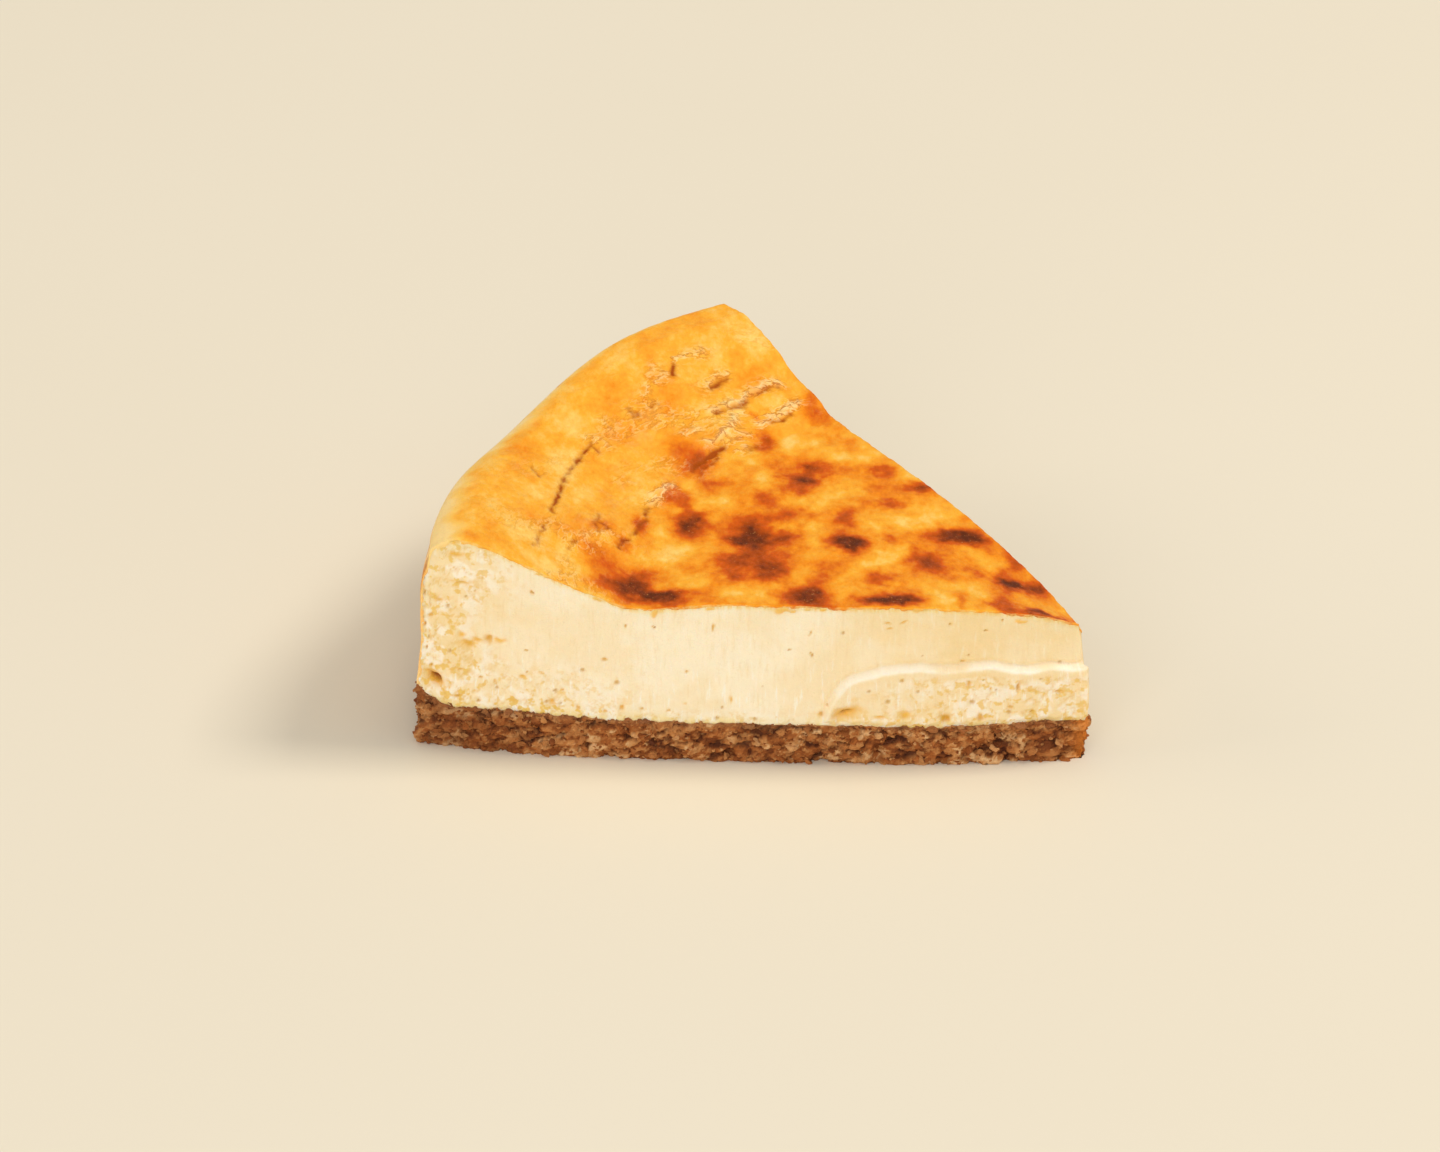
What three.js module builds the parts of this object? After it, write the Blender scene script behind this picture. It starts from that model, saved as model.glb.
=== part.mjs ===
// A wedge of baked cheesecake, cut from a round cake: a set cream filling with a
// browned, wrinkled top and a raised rounded rim, on a pressed biscuit-crumb base.
//
// Millimetres, +Z up. The front cut lies along X with its tip at +X and faces -Y.
// The origin is the middle of the underside.
//
// A place on the wedge is given as (radius, turn): the distance from the cake's
// middle, and the share of the wedge's angle from the front cut (0) to the back cut (1).
import * as THREE from 'three';

// Driving dimensions of the wedge
const CAKE_RADIUS = 116;
const WEDGE_ANGLE = THREE.MathUtils.degToRad(56);
const TIP_RADIUS = 1.3;
const FRONT_BOW = 4.4;
const BACK_BOW = 0.5;
const BOW_POWER = 3.0;
const BACK_DRAW = 2.3;
const BACK_DRAW_START = 86;
const BACK_DRAW_POWER = 1.5;

// Filling: height of its top over the wedge
const TOP_HEIGHT_FRONT = 30.4;
const TOP_HEIGHT_BACK = 30.9;
const TIP_DROOP_FRONT = 5.2;
const TIP_DROOP_FRONT_REACH = 12;
const TIP_DROOP_BACK = 7.4;
const TIP_DROOP_BACK_REACH = 27;
const TIP_DROOP_BACK_POWER = 1.25;
const RIM_START = 81;
const RIM_RISE = 9.5;
const RIM_RISE_BACK = 1.4;
const RIM_RISE_BACK_TURNS = [0.55, 0.8];
const RIM_ROUNDING = 0.35;
const RIM_SAG = 2.3;
const RIM_SAG_ANGLE = THREE.MathUtils.degToRad(24);
const RIM_SAG_SPREAD = THREE.MathUtils.degToRad(9);
const FOOT_DIP = 1.3;
const FOOT_DIP_RADIUS = 77;
const FOOT_DIP_SPREAD = 6;
const SHOULDER = 8;
const SHOULDER_BACK = 3.5;
const SHOULDER_TURNS = [0.45, 0.9];
const RIM_LEAN = 1.1;
const TIP_LEAN = 2.2;
const TIP_LEAN_REACH = 14;

// Filling: relief of the skin, the cut faces and the rim wall
const SWELL = 0.45;
const SWELL_LENGTH = 21;
const WRINKLE = 0.55;
const WRINKLE_LENGTH = 6.5;
const WRINKLE_RADIUS = 90;
const WRINKLE_SPREAD = 11;
const CUT_WAVE = 0.3;
const CUT_WAVE_LENGTH = 17;
const RIM_ROUGHNESS = 0.45;
const RIM_ROUGHNESS_LENGTH = 5;

// Filling: the torn ledge at the tip of the front cut
const LEDGE_LENGTH = 45.5;
const LEDGE_FOOT = 8;
const LEDGE_RISE = 10.6;
const LEDGE_END = 4;
const LEDGE_SQUARENESS = 8;
const LEDGE_PROUD = 1.3;
const LEDGE_LIP = 0.7;

// Crumb base
const BASE_HEIGHT = 7.3;
const BASE_TIP_RISE = 0.5;
const BASE_TIP_REACH = 16;
const BASE_OUTER_RISE = 0.8;
const BASE_OUTER_RADII = [60, 105];
const BASE_CURL = 3.6;
const BASE_CURL_WIDTH = 7;
const LAYER_UNEVEN = 0.35;
const LAYER_UNEVEN_LENGTH = 9;
const CRUMB = 2.6;
const CRUMB_RELIEF = 1.0;
const CRUMB_MEAN = 0.55;
const CRUMB_FINE = 0.35;
const CRUMB_FINE_LENGTH = 1.6;
const HEEL_TUCK = 0.5;
const HEEL_TUCK_HEIGHT = 0.9;
const HEEL_TUCK_LENGTH = 6;
const LAYER_GAP = 0.2;

// Share of a side's height, next to the layer boundary, over which its relief fades in
const FILLING_SETTLE = 0.15;
const BASE_SETTLE = 0.2;

// Spacing of the facets
const TOP_STEP = 2.25;
const SHOULDER_ROWS = 6;
const FILLING_LEVELS = 11;
const LIP_LEVEL = 5;
const BASE_LEVELS = 6;
const BASE_SUBDIVISION = 2;
const CORE_INSET = 14;
const CORE_STRIDE = 3;
const CORE_TURNS = [0.08, 0.92];

// Blisters and dents of the skin: radius and turn on the wedge, width and height
const BLISTERS = [
  { radius: 86.7, turn: 0.76, width: 3.4, height: 1.0 },
  { radius: 88.2, turn: 0.68, width: 3.0, height: 0.8 },
  { radius: 84.0, turn: 0.48, width: 3.2, height: 0.9 },
  { radius: 98.1, turn: 0.51, width: 3.6, height: 0.6 },
  { radius: 92.3, turn: 0.93, width: 3.8, height: 0.6 },
  { radius: 86.5, turn: 0.99, width: 2.6, height: 0.5 },
  { radius: 63.0, turn: 0.38, width: 5.5, height: -0.6 },
  { radius: 69.2, turn: 0.77, width: 4.2, height: -0.5 },
];

// Holes in the front cut: distance from the tip, height, radius and depth
const HOLES = [
  { along: 112.9, height: 11.6, radius: 2.2, depth: 1.8 },
  { along: 106.8, height: 20.6, radius: 2.6, depth: 0.9 },
  { along: 103.4, height: 20.0, radius: 2.2, depth: 0.8 },
  { along: 42.2, height: 10.6, radius: 2.4, depth: 1.3 },
  { along: 24.6, height: 10.8, radius: 2.0, depth: 0.9 },
];

const SEED = { swell: 11, wrinkle: 12, layer: 21, rim: 31, cut: 32, crumb: 41, fine: 42, heel: 43 };
const HASH_PRIMES = [374761393, 668265263, 2147483647, 1274126177];

/** Repeatable number in 0..1 for a lattice point. */
function latticeValue(i, j, k, seed) {
  let h = Math.imul(i, HASH_PRIMES[0]) ^ Math.imul(j, HASH_PRIMES[1]);
  h ^= Math.imul(k, HASH_PRIMES[2]) ^ Math.imul(seed + 1, HASH_PRIMES[3]);
  h = Math.imul(h ^ (h >>> 13), HASH_PRIMES[3]);
  h = Math.imul(h ^ (h >>> 16), HASH_PRIMES[1]);
  return ((h ^ (h >>> 15)) >>> 0) / 4294967296;
}

/** Smooth noise in -1..1 with features about `length` wide. */
function noise(point, length, seed) {
  const p = point.clone().divideScalar(length);
  const cell = p.clone().floor();
  const f = p.sub(cell);
  const u = new THREE.Vector3(
    THREE.MathUtils.smoothstep(f.x, 0, 1),
    THREE.MathUtils.smoothstep(f.y, 0, 1),
    THREE.MathUtils.smoothstep(f.z, 0, 1),
  );
  let sum = 0;
  for (let corner = 0; corner < 8; corner += 1) {
    const dx = corner & 1;
    const dy = (corner >> 1) & 1;
    const dz = corner >> 2;
    const weight = (dx ? u.x : 1 - u.x) * (dy ? u.y : 1 - u.y) * (dz ? u.z : 1 - u.z);
    sum += weight * latticeValue(cell.x + dx, cell.y + dy, cell.z + dz, seed);
  }
  return 2 * sum - 1;
}

/** Height in 0..1 of packed round crumbs of size `size`, from the nearest crumb's middle. */
function crumbRelief(point, size, seed) {
  const cell = point.clone().divideScalar(size).floor();
  let best = 0;
  const middle = new THREE.Vector3();
  for (let n = 0; n < 27; n += 1) {
    const i = cell.x + (n % 3) - 1;
    const j = cell.y + (Math.floor(n / 3) % 3) - 1;
    const k = cell.z + Math.floor(n / 9) - 1;
    middle.set(
      i + latticeValue(i, j, k, seed),
      j + latticeValue(i, j, k, seed + 1),
      k + latticeValue(i, j, k, seed + 2),
    );
    const reach = size * (0.55 + 0.4 * latticeValue(i, j, k, seed + 3));
    const distance = middle.multiplyScalar(size).distanceTo(point);
    best = Math.max(best, 1 - (distance / reach) ** 2);
  }
  return best;
}

/** Bell curve of height 1 and the given spread. */
function bell(distance, spread) {
  return Math.exp(-((distance / spread) ** 2));
}

/** How far a cut face bows out at a radius, as a share of its deepest bow. */
function bowShape(radius) {
  return 1 - Math.abs((2 * radius) / CAKE_RADIUS - 1) ** BOW_POWER;
}

/** How far the back cut is drawn in towards its outer corner, at a radius. */
function backDraw(radius) {
  const share = THREE.MathUtils.clamp((radius - BACK_DRAW_START) / (CAKE_RADIUS - BACK_DRAW_START), 0, 1);
  return BACK_DRAW * share ** BACK_DRAW_POWER;
}

/** Plan position of a place on the wedge, before relief. */
function planPoint(radius, turn) {
  const angle = WEDGE_ANGLE * turn;
  const bow = bowShape(radius);
  const front = FRONT_BOW * bow * (1 - turn) ** 3;
  const back = (BACK_BOW * bow - backDraw(radius)) * turn ** 3;
  return new THREE.Vector2(
    -radius * Math.cos(angle) + back * Math.sin(WEDGE_ANGLE),
    radius * Math.sin(angle) - front + back * Math.cos(WEDGE_ANGLE),
  );
}

/** How much of the rim's rise is reached at a radius. */
function rimRamp(radius) {
  const share = THREE.MathUtils.clamp((radius - RIM_START) / (CAKE_RADIUS - SHOULDER - RIM_START), 0, 1);
  return THREE.MathUtils.lerp(share, THREE.MathUtils.smoothstep(share, 0, 1), RIM_ROUNDING);
}

/** Height of the rim over the flat of the top, round the arc. */
function rimRise(turn) {
  const angle = WEDGE_ANGLE * turn;
  const back = RIM_RISE_BACK * THREE.MathUtils.smoothstep(turn, ...RIM_RISE_BACK_TURNS);
  return RIM_RISE + back - RIM_SAG * bell(angle - RIM_SAG_ANGLE, RIM_SAG_SPREAD);
}

/** Form of the filling's top without its skin relief, up to the shoulder. */
function topForm(radius, turn) {
  const droopFront = TIP_DROOP_FRONT * Math.exp(-radius / TIP_DROOP_FRONT_REACH);
  const droopBack = TIP_DROOP_BACK * Math.exp(-((radius / TIP_DROOP_BACK_REACH) ** TIP_DROOP_BACK_POWER));
  const dip = FOOT_DIP * bell(radius - FOOT_DIP_RADIUS, FOOT_DIP_SPREAD) * (1 - turn) ** 2;
  const flat = THREE.MathUtils.lerp(TOP_HEIGHT_FRONT, TOP_HEIGHT_BACK, turn);
  const droop = THREE.MathUtils.lerp(droopFront, droopBack, turn);
  return flat - droop - dip + rimRise(turn) * rimRamp(radius);
}

/** Relief of the browned skin: swells, the wrinkled band, blisters. */
function skinRelief(radius, turn) {
  const plan = planPoint(radius, turn);
  const place = new THREE.Vector3(plan.x, plan.y, 0);
  let relief = SWELL * noise(place, SWELL_LENGTH, SEED.swell);
  const band = bell(radius - WRINKLE_RADIUS, WRINKLE_SPREAD);
  relief += WRINKLE * band * noise(place, WRINKLE_LENGTH, SEED.wrinkle);
  for (const blister of BLISTERS) {
    const middle = planPoint(blister.radius, blister.turn);
    relief += blister.height * bell(plan.distanceTo(middle), blister.width);
  }
  return relief;
}

/** Height of the filling's top, with the rounded shoulder falling to the rim wall. */
function topHeight(radius, turn) {
  const towardBack = THREE.MathUtils.smoothstep(turn, ...SHOULDER_TURNS);
  const shoulder = THREE.MathUtils.lerp(SHOULDER, SHOULDER_BACK, towardBack);
  const over = Math.max(0, radius - (CAKE_RADIUS - shoulder)) / shoulder;
  const fall = shoulder * (1 - Math.sqrt(Math.max(0, 1 - over * over)));
  return topForm(radius, turn) + skinRelief(radius, turn) * (1 - over) - fall;
}

/** Height of the boundary between the crumb base and the filling. */
function layerHeight(radius, turn) {
  const place = planPoint(radius, turn);
  const outer = THREE.MathUtils.smoothstep(radius, ...BASE_OUTER_RADII);
  const curl = Math.max(0, (radius - (CAKE_RADIUS - BASE_CURL_WIDTH)) / BASE_CURL_WIDTH);
  const spot = new THREE.Vector3(place.x, place.y, 0);
  const uneven = LAYER_UNEVEN * noise(spot, LAYER_UNEVEN_LENGTH, SEED.layer);
  return BASE_HEIGHT + BASE_TIP_RISE * Math.exp(-radius / BASE_TIP_REACH)
    + BASE_OUTER_RISE * outer + BASE_CURL * curl * curl + uneven;
}

/** Height of the torn lip on the front cut, level from the tip and then arching down. */
function lipHeight(along) {
  const share = Math.min(1, along / LEDGE_LENGTH);
  return LEDGE_FOOT + LEDGE_RISE * Math.sqrt(1 - share ** LEDGE_SQUARENESS);
}

/** How far the filling's tip is drawn back at a share of its height over the layer boundary. */
function tipLean(radius, share) {
  return TIP_LEAN * Math.exp(-radius / TIP_LEAN_REACH) * share;
}

/** Stations of the wedge's outline, anticlockwise from the front outer corner. */
function outlineStations(rows) {
  const last = rows.length - 1;
  const stations = [];
  for (let i = last; i > 0; i -= 1) {
    stations.push({ row: i, column: 0, side: 'front' });
  }
  for (let j = 0; j < rows[0].count; j += 1) {
    stations.push({ row: 0, column: j, side: 'tip' });
  }
  for (let i = 0; i < last; i += 1) {
    stations.push({ row: i, column: rows[i].count, side: 'back' });
  }
  for (let j = rows[last].count; j > 0; j -= 1) {
    stations.push({ row: last, column: j, side: 'rim' });
  }
  for (const station of stations) {
    station.radius = rows[station.row].radius;
    station.turn = station.column / rows[station.row].count;
    station.plan = planPoint(station.radius, station.turn);
  }
  stations.forEach((station, s) => {
    const before = stations[(s + stations.length - 1) % stations.length].plan;
    const after = stations[(s + 1) % stations.length].plan;
    const travel = after.clone().sub(before).normalize();
    station.outward = new THREE.Vector2(travel.y, -travel.x);
  });
  return stations;
}

/** Rows of the top from the tip to the rim, each with its radius and its segments. */
function topRows() {
  const rows = [];
  const flatEnd = CAKE_RADIUS - SHOULDER;
  const flatRows = Math.round((flatEnd - TIP_RADIUS) / TOP_STEP);
  const segments = (radius) => Math.max(2, Math.round((radius * WEDGE_ANGLE) / TOP_STEP));
  for (let i = 0; i <= flatRows; i += 1) {
    const radius = THREE.MathUtils.lerp(TIP_RADIUS, flatEnd, i / flatRows);
    rows.push({ radius, count: segments(radius) });
  }
  for (let i = 1; i <= SHOULDER_ROWS; i += 1) {
    const radius = flatEnd + SHOULDER * Math.sin((Math.PI / 2) * (i / SHOULDER_ROWS));
    rows.push({ radius, count: segments(radius) });
  }
  return rows;
}

/** Outward relief of the filling's sides at a station and height. */
function sideRelief(station, height, footShare) {
  const point = new THREE.Vector3(station.plan.x, station.plan.y, height);
  const settle = THREE.MathUtils.smoothstep(footShare, 0, FILLING_SETTLE);
  if (station.side === 'rim') {
    const rise = THREE.MathUtils.clamp((height - BASE_HEIGHT) / TOP_HEIGHT_FRONT, 0, 1);
    return (RIM_ROUGHNESS * noise(point, RIM_ROUGHNESS_LENGTH, SEED.rim) - RIM_LEAN * rise) * settle;
  }
  let relief = CUT_WAVE * noise(point, CUT_WAVE_LENGTH, SEED.cut);
  if (station.side === 'front') {
    for (const hole of HOLES) {
      const distance = Math.hypot(station.radius - hole.along, height - hole.height);
      relief -= hole.depth * bell(distance, hole.radius);
    }
  }
  return relief * settle;
}

/** How far the torn ledge stands out below its lip, at a share of the wall's levels. */
function ledgeRelief(station, level) {
  if (station.side === 'back' || station.side === 'rim') {
    return 0;
  }
  const fade = 1 - THREE.MathUtils.smoothstep(station.radius, LEDGE_LENGTH - LEDGE_END, LEDGE_LENGTH);
  const tipFade = station.side === 'tip' ? 1 - station.turn : 1;
  const proud = level <= LIP_LEVEL ? LEDGE_PROUD * (0.5 + (0.5 * level) / LIP_LEVEL) : 0;
  return proud * fade * tipFade;
}

/** Heights of one wall column from the layer boundary to the top edge. */
function columnHeights(station, foot, head) {
  const heights = [];
  const torn = (station.side === 'front' || station.side === 'tip') && station.radius < LEDGE_LENGTH;
  const lip = Math.max(lipHeight(station.radius), foot + LEDGE_LIP);
  for (let level = 0; level <= FILLING_LEVELS; level += 1) {
    if (!torn) {
      heights.push(THREE.MathUtils.lerp(foot, head, level / FILLING_LEVELS));
    } else if (level <= LIP_LEVEL) {
      heights.push(THREE.MathUtils.lerp(foot, lip, level / LIP_LEVEL));
    } else {
      const share = (level - LIP_LEVEL - 1) / (FILLING_LEVELS - LIP_LEVEL - 1);
      heights.push(THREE.MathUtils.lerp(lip + LEDGE_LIP, head, share));
    }
  }
  return heights;
}

/** Collects points and triangles of one closed solid. */
class SolidBuilder {
  constructor() {
    this.points = [];
    this.triangles = [];
  }

  /** Adds a point and returns its number. */
  point(x, y, z) {
    this.points.push(x, y, z);
    return this.points.length / 3 - 1;
  }

  /** Adds one triangle, anticlockwise as seen from outside. */
  triangle(a, b, c) {
    this.triangles.push(a, b, c);
  }

  /** Fills the band between two rings of equal length, the upper one given last. */
  band(lower, upper) {
    lower.forEach((a, s) => {
      const next = (s + 1) % lower.length;
      this.triangle(a, lower[next], upper[next]);
      this.triangle(a, upper[next], upper[s]);
    });
  }

  /** Fills the strip between two rows that run across the wedge, outer row last. */
  strip(inner, outer) {
    let i = 0;
    let j = 0;
    while (i < inner.length - 1 || j < outer.length - 1) {
      const innerNext = (i + 1) / (inner.length - 1);
      const outerNext = (j + 1) / (outer.length - 1);
      if (j === outer.length - 1 || (i < inner.length - 1 && innerNext <= outerNext)) {
        this.triangle(inner[i], inner[i + 1], outer[j]);
        i += 1;
      } else {
        this.triangle(inner[i], outer[j + 1], outer[j]);
        j += 1;
      }
    }
  }

  /** Closes a ring by triangles of its plan, facing up or down. */
  cap(ring, facesUp) {
    const contour = ring.map((n) => new THREE.Vector2(this.points[3 * n], this.points[3 * n + 1]));
    for (const [a, b, c] of THREE.ShapeUtils.triangulateShape(contour, [])) {
      const side = THREE.ShapeUtils.area([contour[a], contour[b], contour[c]]);
      const upward = side > 0;
      if (upward === facesUp) {
        this.triangle(ring[a], ring[b], ring[c]);
      } else {
        this.triangle(ring[a], ring[c], ring[b]);
      }
    }
  }

  /** Closes a ring over a smaller core ring, so that the curled edge stays at the edge. */
  coredCap(ring, core, stride, facesUp) {
    const count = ring.length;
    core.forEach((middle, c) => {
      const first = c * stride;
      const end = c === core.length - 1 ? count : first + stride;
      for (let s = first; s < end; s += 1) {
        this.facing(facesUp, ring[s], ring[(s + 1) % count], middle);
      }
      this.facing(facesUp, ring[end % count], core[(c + 1) % core.length], middle);
    });
    this.cap(core, facesUp);
  }

  /** Adds a triangle given anticlockwise from above, turned over for a face below. */
  facing(facesUp, a, b, c) {
    if (facesUp) {
      this.triangle(a, b, c);
    } else {
      this.triangle(a, c, b);
    }
  }

  /** The finished body as an indexed geometry. */
  geometry() {
    const geometry = new THREE.BufferGeometry();
    geometry.setAttribute('position', new THREE.Float32BufferAttribute(this.points, 3));
    geometry.setIndex(this.triangles);
    return geometry;
  }
}

/** Ring of core points drawn in from the outline, at the layer boundary. */
function coreRing(builder, stations, gap) {
  const core = [];
  const corners = Math.floor(stations.length / CORE_STRIDE);
  for (let c = 0; c < corners; c += 1) {
    const station = stations[c * CORE_STRIDE];
    const share = station.radius / CAKE_RADIUS;
    const radius = THREE.MathUtils.lerp(CORE_INSET, CAKE_RADIUS - BASE_CURL_WIDTH, share);
    const turn = THREE.MathUtils.lerp(...CORE_TURNS, station.turn);
    const plan = planPoint(radius, turn);
    core.push(builder.point(plan.x, plan.y, layerHeight(radius, turn) + gap));
  }
  return core;
}

/** The cream filling with its browned top. */
function fillingGeometry(rows, stations) {
  const builder = new SolidBuilder();
  const columns = stations.map((station) => {
    const foot = layerHeight(station.radius, station.turn) + LAYER_GAP / 2;
    const head = topHeight(station.radius, station.turn);
    return columnHeights(station, foot, head).map((height, level) => {
      const share = level / FILLING_LEVELS;
      const relief = sideRelief(station, height, share) + (level > 0 ? ledgeRelief(station, level) : 0);
      const plan = station.plan.clone().addScaledVector(station.outward, relief);
      return builder.point(plan.x - tipLean(station.radius, share), plan.y, height);
    });
  });
  for (let level = 0; level < FILLING_LEVELS; level += 1) {
    builder.band(columns.map((column) => column[level]), columns.map((column) => column[level + 1]));
  }

  // The top's rows end on the wall's upper ring
  const edge = new Map();
  stations.forEach((station, s) => {
    edge.set(`${station.row}/${station.column}`, columns[s][FILLING_LEVELS]);
  });
  const surface = rows.map((row, i) => {
    const points = [];
    for (let j = 0; j <= row.count; j += 1) {
      const known = edge.get(`${i}/${j}`);
      const turn = j / row.count;
      const plan = planPoint(row.radius, turn);
      const x = plan.x - tipLean(row.radius, 1);
      points.push(known ?? builder.point(x, plan.y, topHeight(row.radius, turn)));
    }
    return points;
  });
  for (let i = 0; i + 1 < surface.length; i += 1) {
    builder.strip(surface[i], surface[i + 1]);
  }

  const foot = columns.map((column) => column[0]);
  builder.coredCap(foot, coreRing(builder, stations, LAYER_GAP / 2), CORE_STRIDE, false);
  return builder.geometry();
}

/** Upper ring of the base: the filling's outline, each side halved again. */
function baseStations(stations) {
  const ring = [];
  stations.forEach((station, s) => {
    const next = stations[(s + 1) % stations.length];
    const heightHere = layerHeight(station.radius, station.turn);
    const heightNext = layerHeight(next.radius, next.turn);
    for (let part = 0; part < BASE_SUBDIVISION; part += 1) {
      const share = part / BASE_SUBDIVISION;
      ring.push({
        plan: station.plan.clone().lerp(next.plan, share),
        outward: station.outward.clone().lerp(next.outward, share).normalize(),
        height: THREE.MathUtils.lerp(heightHere, heightNext, share) - LAYER_GAP / 2,
      });
    }
  });
  return ring;
}

/** Outward relief of the pressed crumbs at a height on the base's side. */
function baseRelief(station, height) {
  const point = new THREE.Vector3(station.plan.x, station.plan.y, height);
  const share = height / station.height;
  const crumbs = CRUMB_RELIEF * (crumbRelief(point, CRUMB, SEED.crumb) - CRUMB_MEAN);
  const fine = CRUMB_FINE * noise(point, CRUMB_FINE_LENGTH, SEED.fine);
  const ragged = 0.4 + 0.6 * noise(point, HEEL_TUCK_LENGTH, SEED.heel);
  const tuck = HEEL_TUCK * bell(height, HEEL_TUCK_HEIGHT) * ragged;
  const settle = THREE.MathUtils.smoothstep(1 - share, 0, BASE_SETTLE);
  return (crumbs + fine - tuck) * settle;
}

/** The biscuit-crumb base, flat underneath. */
function baseGeometry(stations) {
  const builder = new SolidBuilder();
  const ring = baseStations(stations);
  const columns = ring.map((station) => {
    const points = [];
    for (let level = 0; level <= BASE_LEVELS; level += 1) {
      const height = (station.height * level) / BASE_LEVELS;
      const plan = station.plan.clone().addScaledVector(station.outward, baseRelief(station, height));
      points.push(builder.point(plan.x, plan.y, height));
    }
    return points;
  });
  for (let level = 0; level < BASE_LEVELS; level += 1) {
    builder.band(columns.map((column) => column[level]), columns.map((column) => column[level + 1]));
  }
  const top = columns.map((column) => column[BASE_LEVELS]);
  const core = coreRing(builder, stations, -LAYER_GAP / 2);
  builder.coredCap(top, core, CORE_STRIDE * BASE_SUBDIVISION, true);
  builder.cap(columns.map((column) => column[0]), false);
  return builder.geometry();
}

/** Makes one named mesh with its own material. */
function namedMesh(name, geometry, color, roughness) {
  const material = new THREE.MeshStandardMaterial({ color, roughness, metalness: 0, flatShading: true });
  const mesh = new THREE.Mesh(geometry, material);
  mesh.name = name;
  return mesh;
}

const rows = topRows();
const stations = outlineStations(rows);
const filling = namedMesh('filling', fillingGeometry(rows, stations), 0xf4d9a3, 0.55);
const crumbBase = namedMesh('crumb_base', baseGeometry(stations), 0x8b5527, 0.9);

const cheesecake = new THREE.Group();
cheesecake.add(filling, crumbBase);

// The origin goes to the middle of the underside
const box = new THREE.Box3().setFromObject(cheesecake);
const middle = box.getCenter(new THREE.Vector3());
for (const mesh of [filling, crumbBase]) {
  mesh.position.set(-middle.x, -middle.y, -box.min.z);
}

export default cheesecake;
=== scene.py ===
"""Looks of a wedge of baked cheesecake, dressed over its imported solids.

The wedge has a knife-cut cream filling, a browned skin that wraps its top and its rim,
and a base of pressed biscuit crumbs. Sizes are millimetres in the shape code, and are
turned into metres where a mesh is made. A place on the wedge is (radius, turn): the
distance from the cake's middle, and the share of the wedge's angle from the front cut
(0) to the back cut (1). Shapes are worked out about the cake's middle, with the front
cut along -X, and moved to the frame's own origin when a mesh is made.
"""

import logging
import math
from dataclasses import dataclass
from enum import Enum
from functools import partial, reduce
from typing import Any, Callable, Iterable, Sequence

import bmesh
import bpy
import numpy as np
from mathutils import Matrix, Vector

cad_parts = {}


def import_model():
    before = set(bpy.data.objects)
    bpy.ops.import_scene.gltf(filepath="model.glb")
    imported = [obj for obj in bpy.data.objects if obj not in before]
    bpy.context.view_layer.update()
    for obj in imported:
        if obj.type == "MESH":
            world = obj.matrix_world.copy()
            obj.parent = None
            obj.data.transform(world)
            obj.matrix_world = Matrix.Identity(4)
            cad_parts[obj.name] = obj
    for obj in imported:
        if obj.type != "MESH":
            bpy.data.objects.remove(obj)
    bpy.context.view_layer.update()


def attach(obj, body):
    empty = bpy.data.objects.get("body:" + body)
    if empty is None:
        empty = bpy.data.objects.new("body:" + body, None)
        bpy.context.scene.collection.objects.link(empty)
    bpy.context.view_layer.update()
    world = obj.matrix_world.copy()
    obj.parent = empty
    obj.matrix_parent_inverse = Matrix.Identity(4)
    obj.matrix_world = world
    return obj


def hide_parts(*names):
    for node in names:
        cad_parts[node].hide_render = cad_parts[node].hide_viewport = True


LOG = logging.getLogger("cheesecake")

MM = 0.001
BODY = "root"
HASH_BITS = 0xFFFFFFFF
HASH_PRIMES = (374761393, 668265263, 2147483647, 1274126177)

Array = np.ndarray
Socket = bpy.types.NodeSocket
Tree = bpy.types.NodeTree
Object = bpy.types.Object
Material = bpy.types.Material
Place = tuple[float, float, float]
Inputs = dict[Any, Any]
Numbers = list[list[int]]


# Small curves used by every shape


def clamp(value: Array) -> Array:
    """Keeps values in 0..1."""
    return np.clip(value, 0.0, 1.0)


def ease(value: Array, low: float, high: float) -> Array:
    """Rises smoothly from 0 at low to 1 at high."""
    share = clamp((np.asarray(value, float) - low) / (high - low))
    return share * share * (3.0 - 2.0 * share)


def bell(distance: Array, spread: float) -> Array:
    """Bell curve of height 1 and the given spread."""
    return np.exp(-((np.asarray(distance, float) / spread) ** 2))


def lerp(start: Any, end: Any, share: Any) -> Any:
    """Goes from start at share 0 to end at share 1."""
    return start + (end - start) * share


def directions(x: Array, y: Array, z: Array) -> Array:
    """Packs three coordinates of each point into one array."""
    return np.stack(np.broadcast_arrays(x, y, z), axis=-1)


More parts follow.
